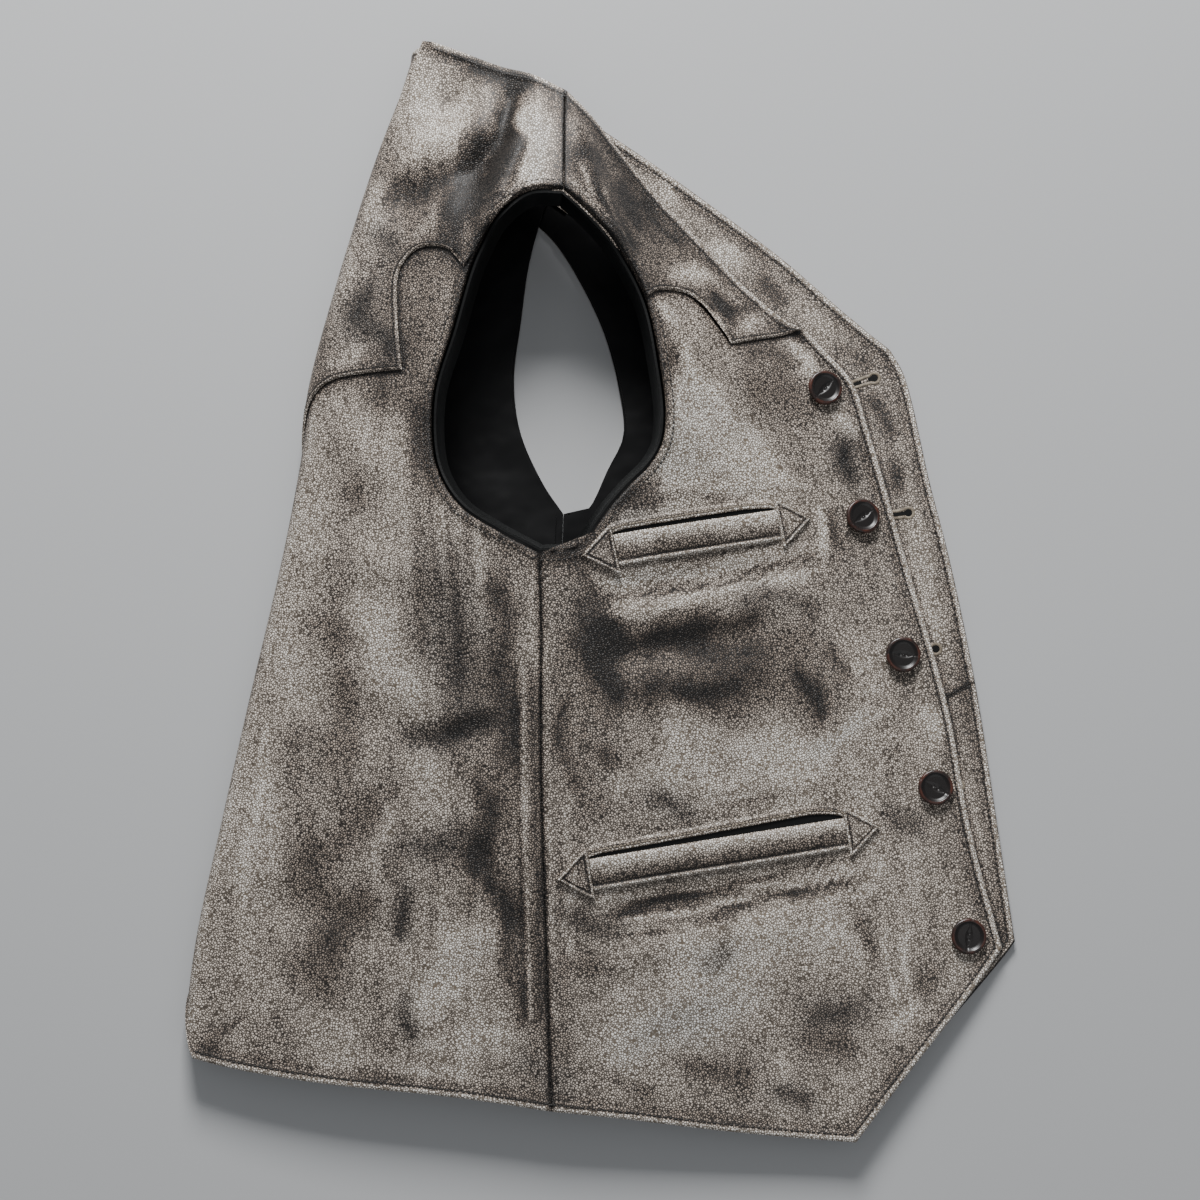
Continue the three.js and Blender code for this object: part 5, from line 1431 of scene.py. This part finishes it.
def stitching(name, rows, material):
    """One joined object from several rows of stitches."""
    faces, count = [], 0
    for points, parts in rows:
        faces += [part + count for part in parts]
        count += len(points)
    piece = make(name, np.concatenate([points for points, _ in rows]), faces, [material], sharp=80)


dark_rows = [stitch_row(inset(path, side, STITCH_LINE), skin, out) for path, side, skin, out in (
    (hem_back, 1, on_back, SUNK),
    (hem_front, 1, on_top, SUNK),
    (hem_point, 1, on_top, SUNK),
    (edge_front, 1, on_top, SUNK),
    (neck_front[:NECK_AT_YOKE], 1, on_top, SUNK),
    (neck_front[NECK_AT_YOKE:], 1, on_top, SUNK + YOKE_TOP),
    (neck_back, -1, on_top, SUNK + YOKE_TOP),
    (armhole_back[:BACK_HOLE_AT_YOKE], 1, on_top, SUNK),
    (armhole_back[BACK_HOLE_AT_YOKE:], 1, on_top, SUNK + YOKE_TOP),
    (armhole_front[:FRONT_HOLE_AT_YOKE], -1, on_top, SUNK),
    (armhole_front[FRONT_HOLE_AT_YOKE:], -1, on_top, SUNK + YOKE_TOP),
    *((edge, 1, on_facing, -0.1) for edge in left_edges[:3]),
)]
for path, skin in ((back_yoke_path, on_back), (back_arch_path, on_top),
                   (front_arch_path, on_top), (front_yoke_path, on_top)):
    dark_rows.append(stitch_row(inset(path, 1, YOKE_STITCH_LINE), skin, YOKE_TOP + 0.1,
                                pitch=2.0, length=1.4, radius=0.36))
pale_rows = []
for pocket, gape in zip(POCKETS.values(), POCKET_GAPES.values()):
    length, place_on = pocket_frame(pocket)
    along = np.linspace(0, length, 200)
    above = WELT_HEIGHT / 2 + mouth_width(along, length, gape) + LIP_STITCH_LINE
    below = 0 * along - WELT_HEIGHT / 2 + WELT_STITCH_LINE
    pale_rows.append(stitch_row(np.stack(place_on(along, above), -1), on_top, 1.3,
                                pitch=2.1, length=1.6, radius=0.42))
    dark_rows.append(stitch_row(np.stack(place_on(along, below), -1), on_top, 1.3,
                                pitch=2.1, length=1.3, radius=0.3))
stitching("topstitching_dark", dark_rows, dark_thread)
stitching("topstitching_sand", pale_rows, pale_thread)

purl_rows = []
for k, row in enumerate(BUTTONHOLES):
    purl_rows.append(stitch_row(keyhole(*row, 1.0), on_facing, 0.15,
                                pitch=0.6, length=2.0, radius=0.32, across=True))
    half = np.arange(KEYHOLE_POINTS // 2)
    ring = keyhole(*row)
    sides = np.stack([ring[half], ring[::-1][half]], 1)
    # Each slit is a thin black strip laid in the cut: painted shade in the buttonhole.
    slit = wall(f"buttonhole_{k + 1}_slit", on_facing(sides[..., 0], sides[..., 1], 0.25),
                on_facing(sides[..., 0], sides[..., 1], -0.2), [black_leather_and_opening_shade])
stitching("buttonhole_purl_stitches", purl_rows, pale_thread)


# Floor, light and camera

FLOOR_SIZE = 8
FLOOR_DROP = 0.0006


def add_floor():
    """Plain pale floor under the garment."""
    bpy.ops.mesh.primitive_plane_add(size=FLOOR_SIZE, location=(0, 0, -FLOOR_DROP))
    floor = bpy.context.object
    floor.name = "floor"
    material, _, _ = new_material("Pale matt floor, painted", Roughness=0.8,
                                  Base_Color=srgb("#b2b3b4"))
    floor.data.materials.append(material)


def add_light(name, place, size, watts):
    """Soft square light aimed at the middle of the garment."""
    data = bpy.data.lights.new(name, "AREA")
    data.size = size
    data.energy = watts
    light = bpy.data.objects.new(name, data)
    light.location = place
    light.rotation_euler = (-Vector(place)).to_track_quat("-Z", "Y").to_euler()
    bpy.context.scene.collection.objects.link(light)


add_floor()
add_light("window", (-0.15, 1.75, 1.15), 0.7, 76)
add_light("fill", (0.6, -0.9, 1.9), 1.6, 5)
world = bpy.data.worlds.new("soft room")
world.use_nodes = True
world.node_tree.nodes["Background"].inputs[0].default_value = srgb("#e9edf2")
world.node_tree.nodes["Background"].inputs[1].default_value = 0.3
bpy.context.scene.world = world

# Camera: 1.5 m from the middle of the garment, tilted 7.3 degrees from straight down
CAMERA_DISTANCE = 1500
CAMERA_TILT = math.radians(7.3)
camera_data = bpy.data.cameras.new("camera")
camera_data.lens = 75
camera_data.sensor_width = 36
camera = bpy.data.objects.new("camera", camera_data)
at = np.array([0, -math.sin(CAMERA_TILT), math.cos(CAMERA_TILT)]) * CAMERA_DISTANCE
camera.location = (at - CENTRE) * MM
camera.rotation_euler = (CAMERA_TILT, 0, 0)
bpy.context.scene.collection.objects.link(camera)
bpy.context.scene.camera = camera

bpy.context.view_layer.update()
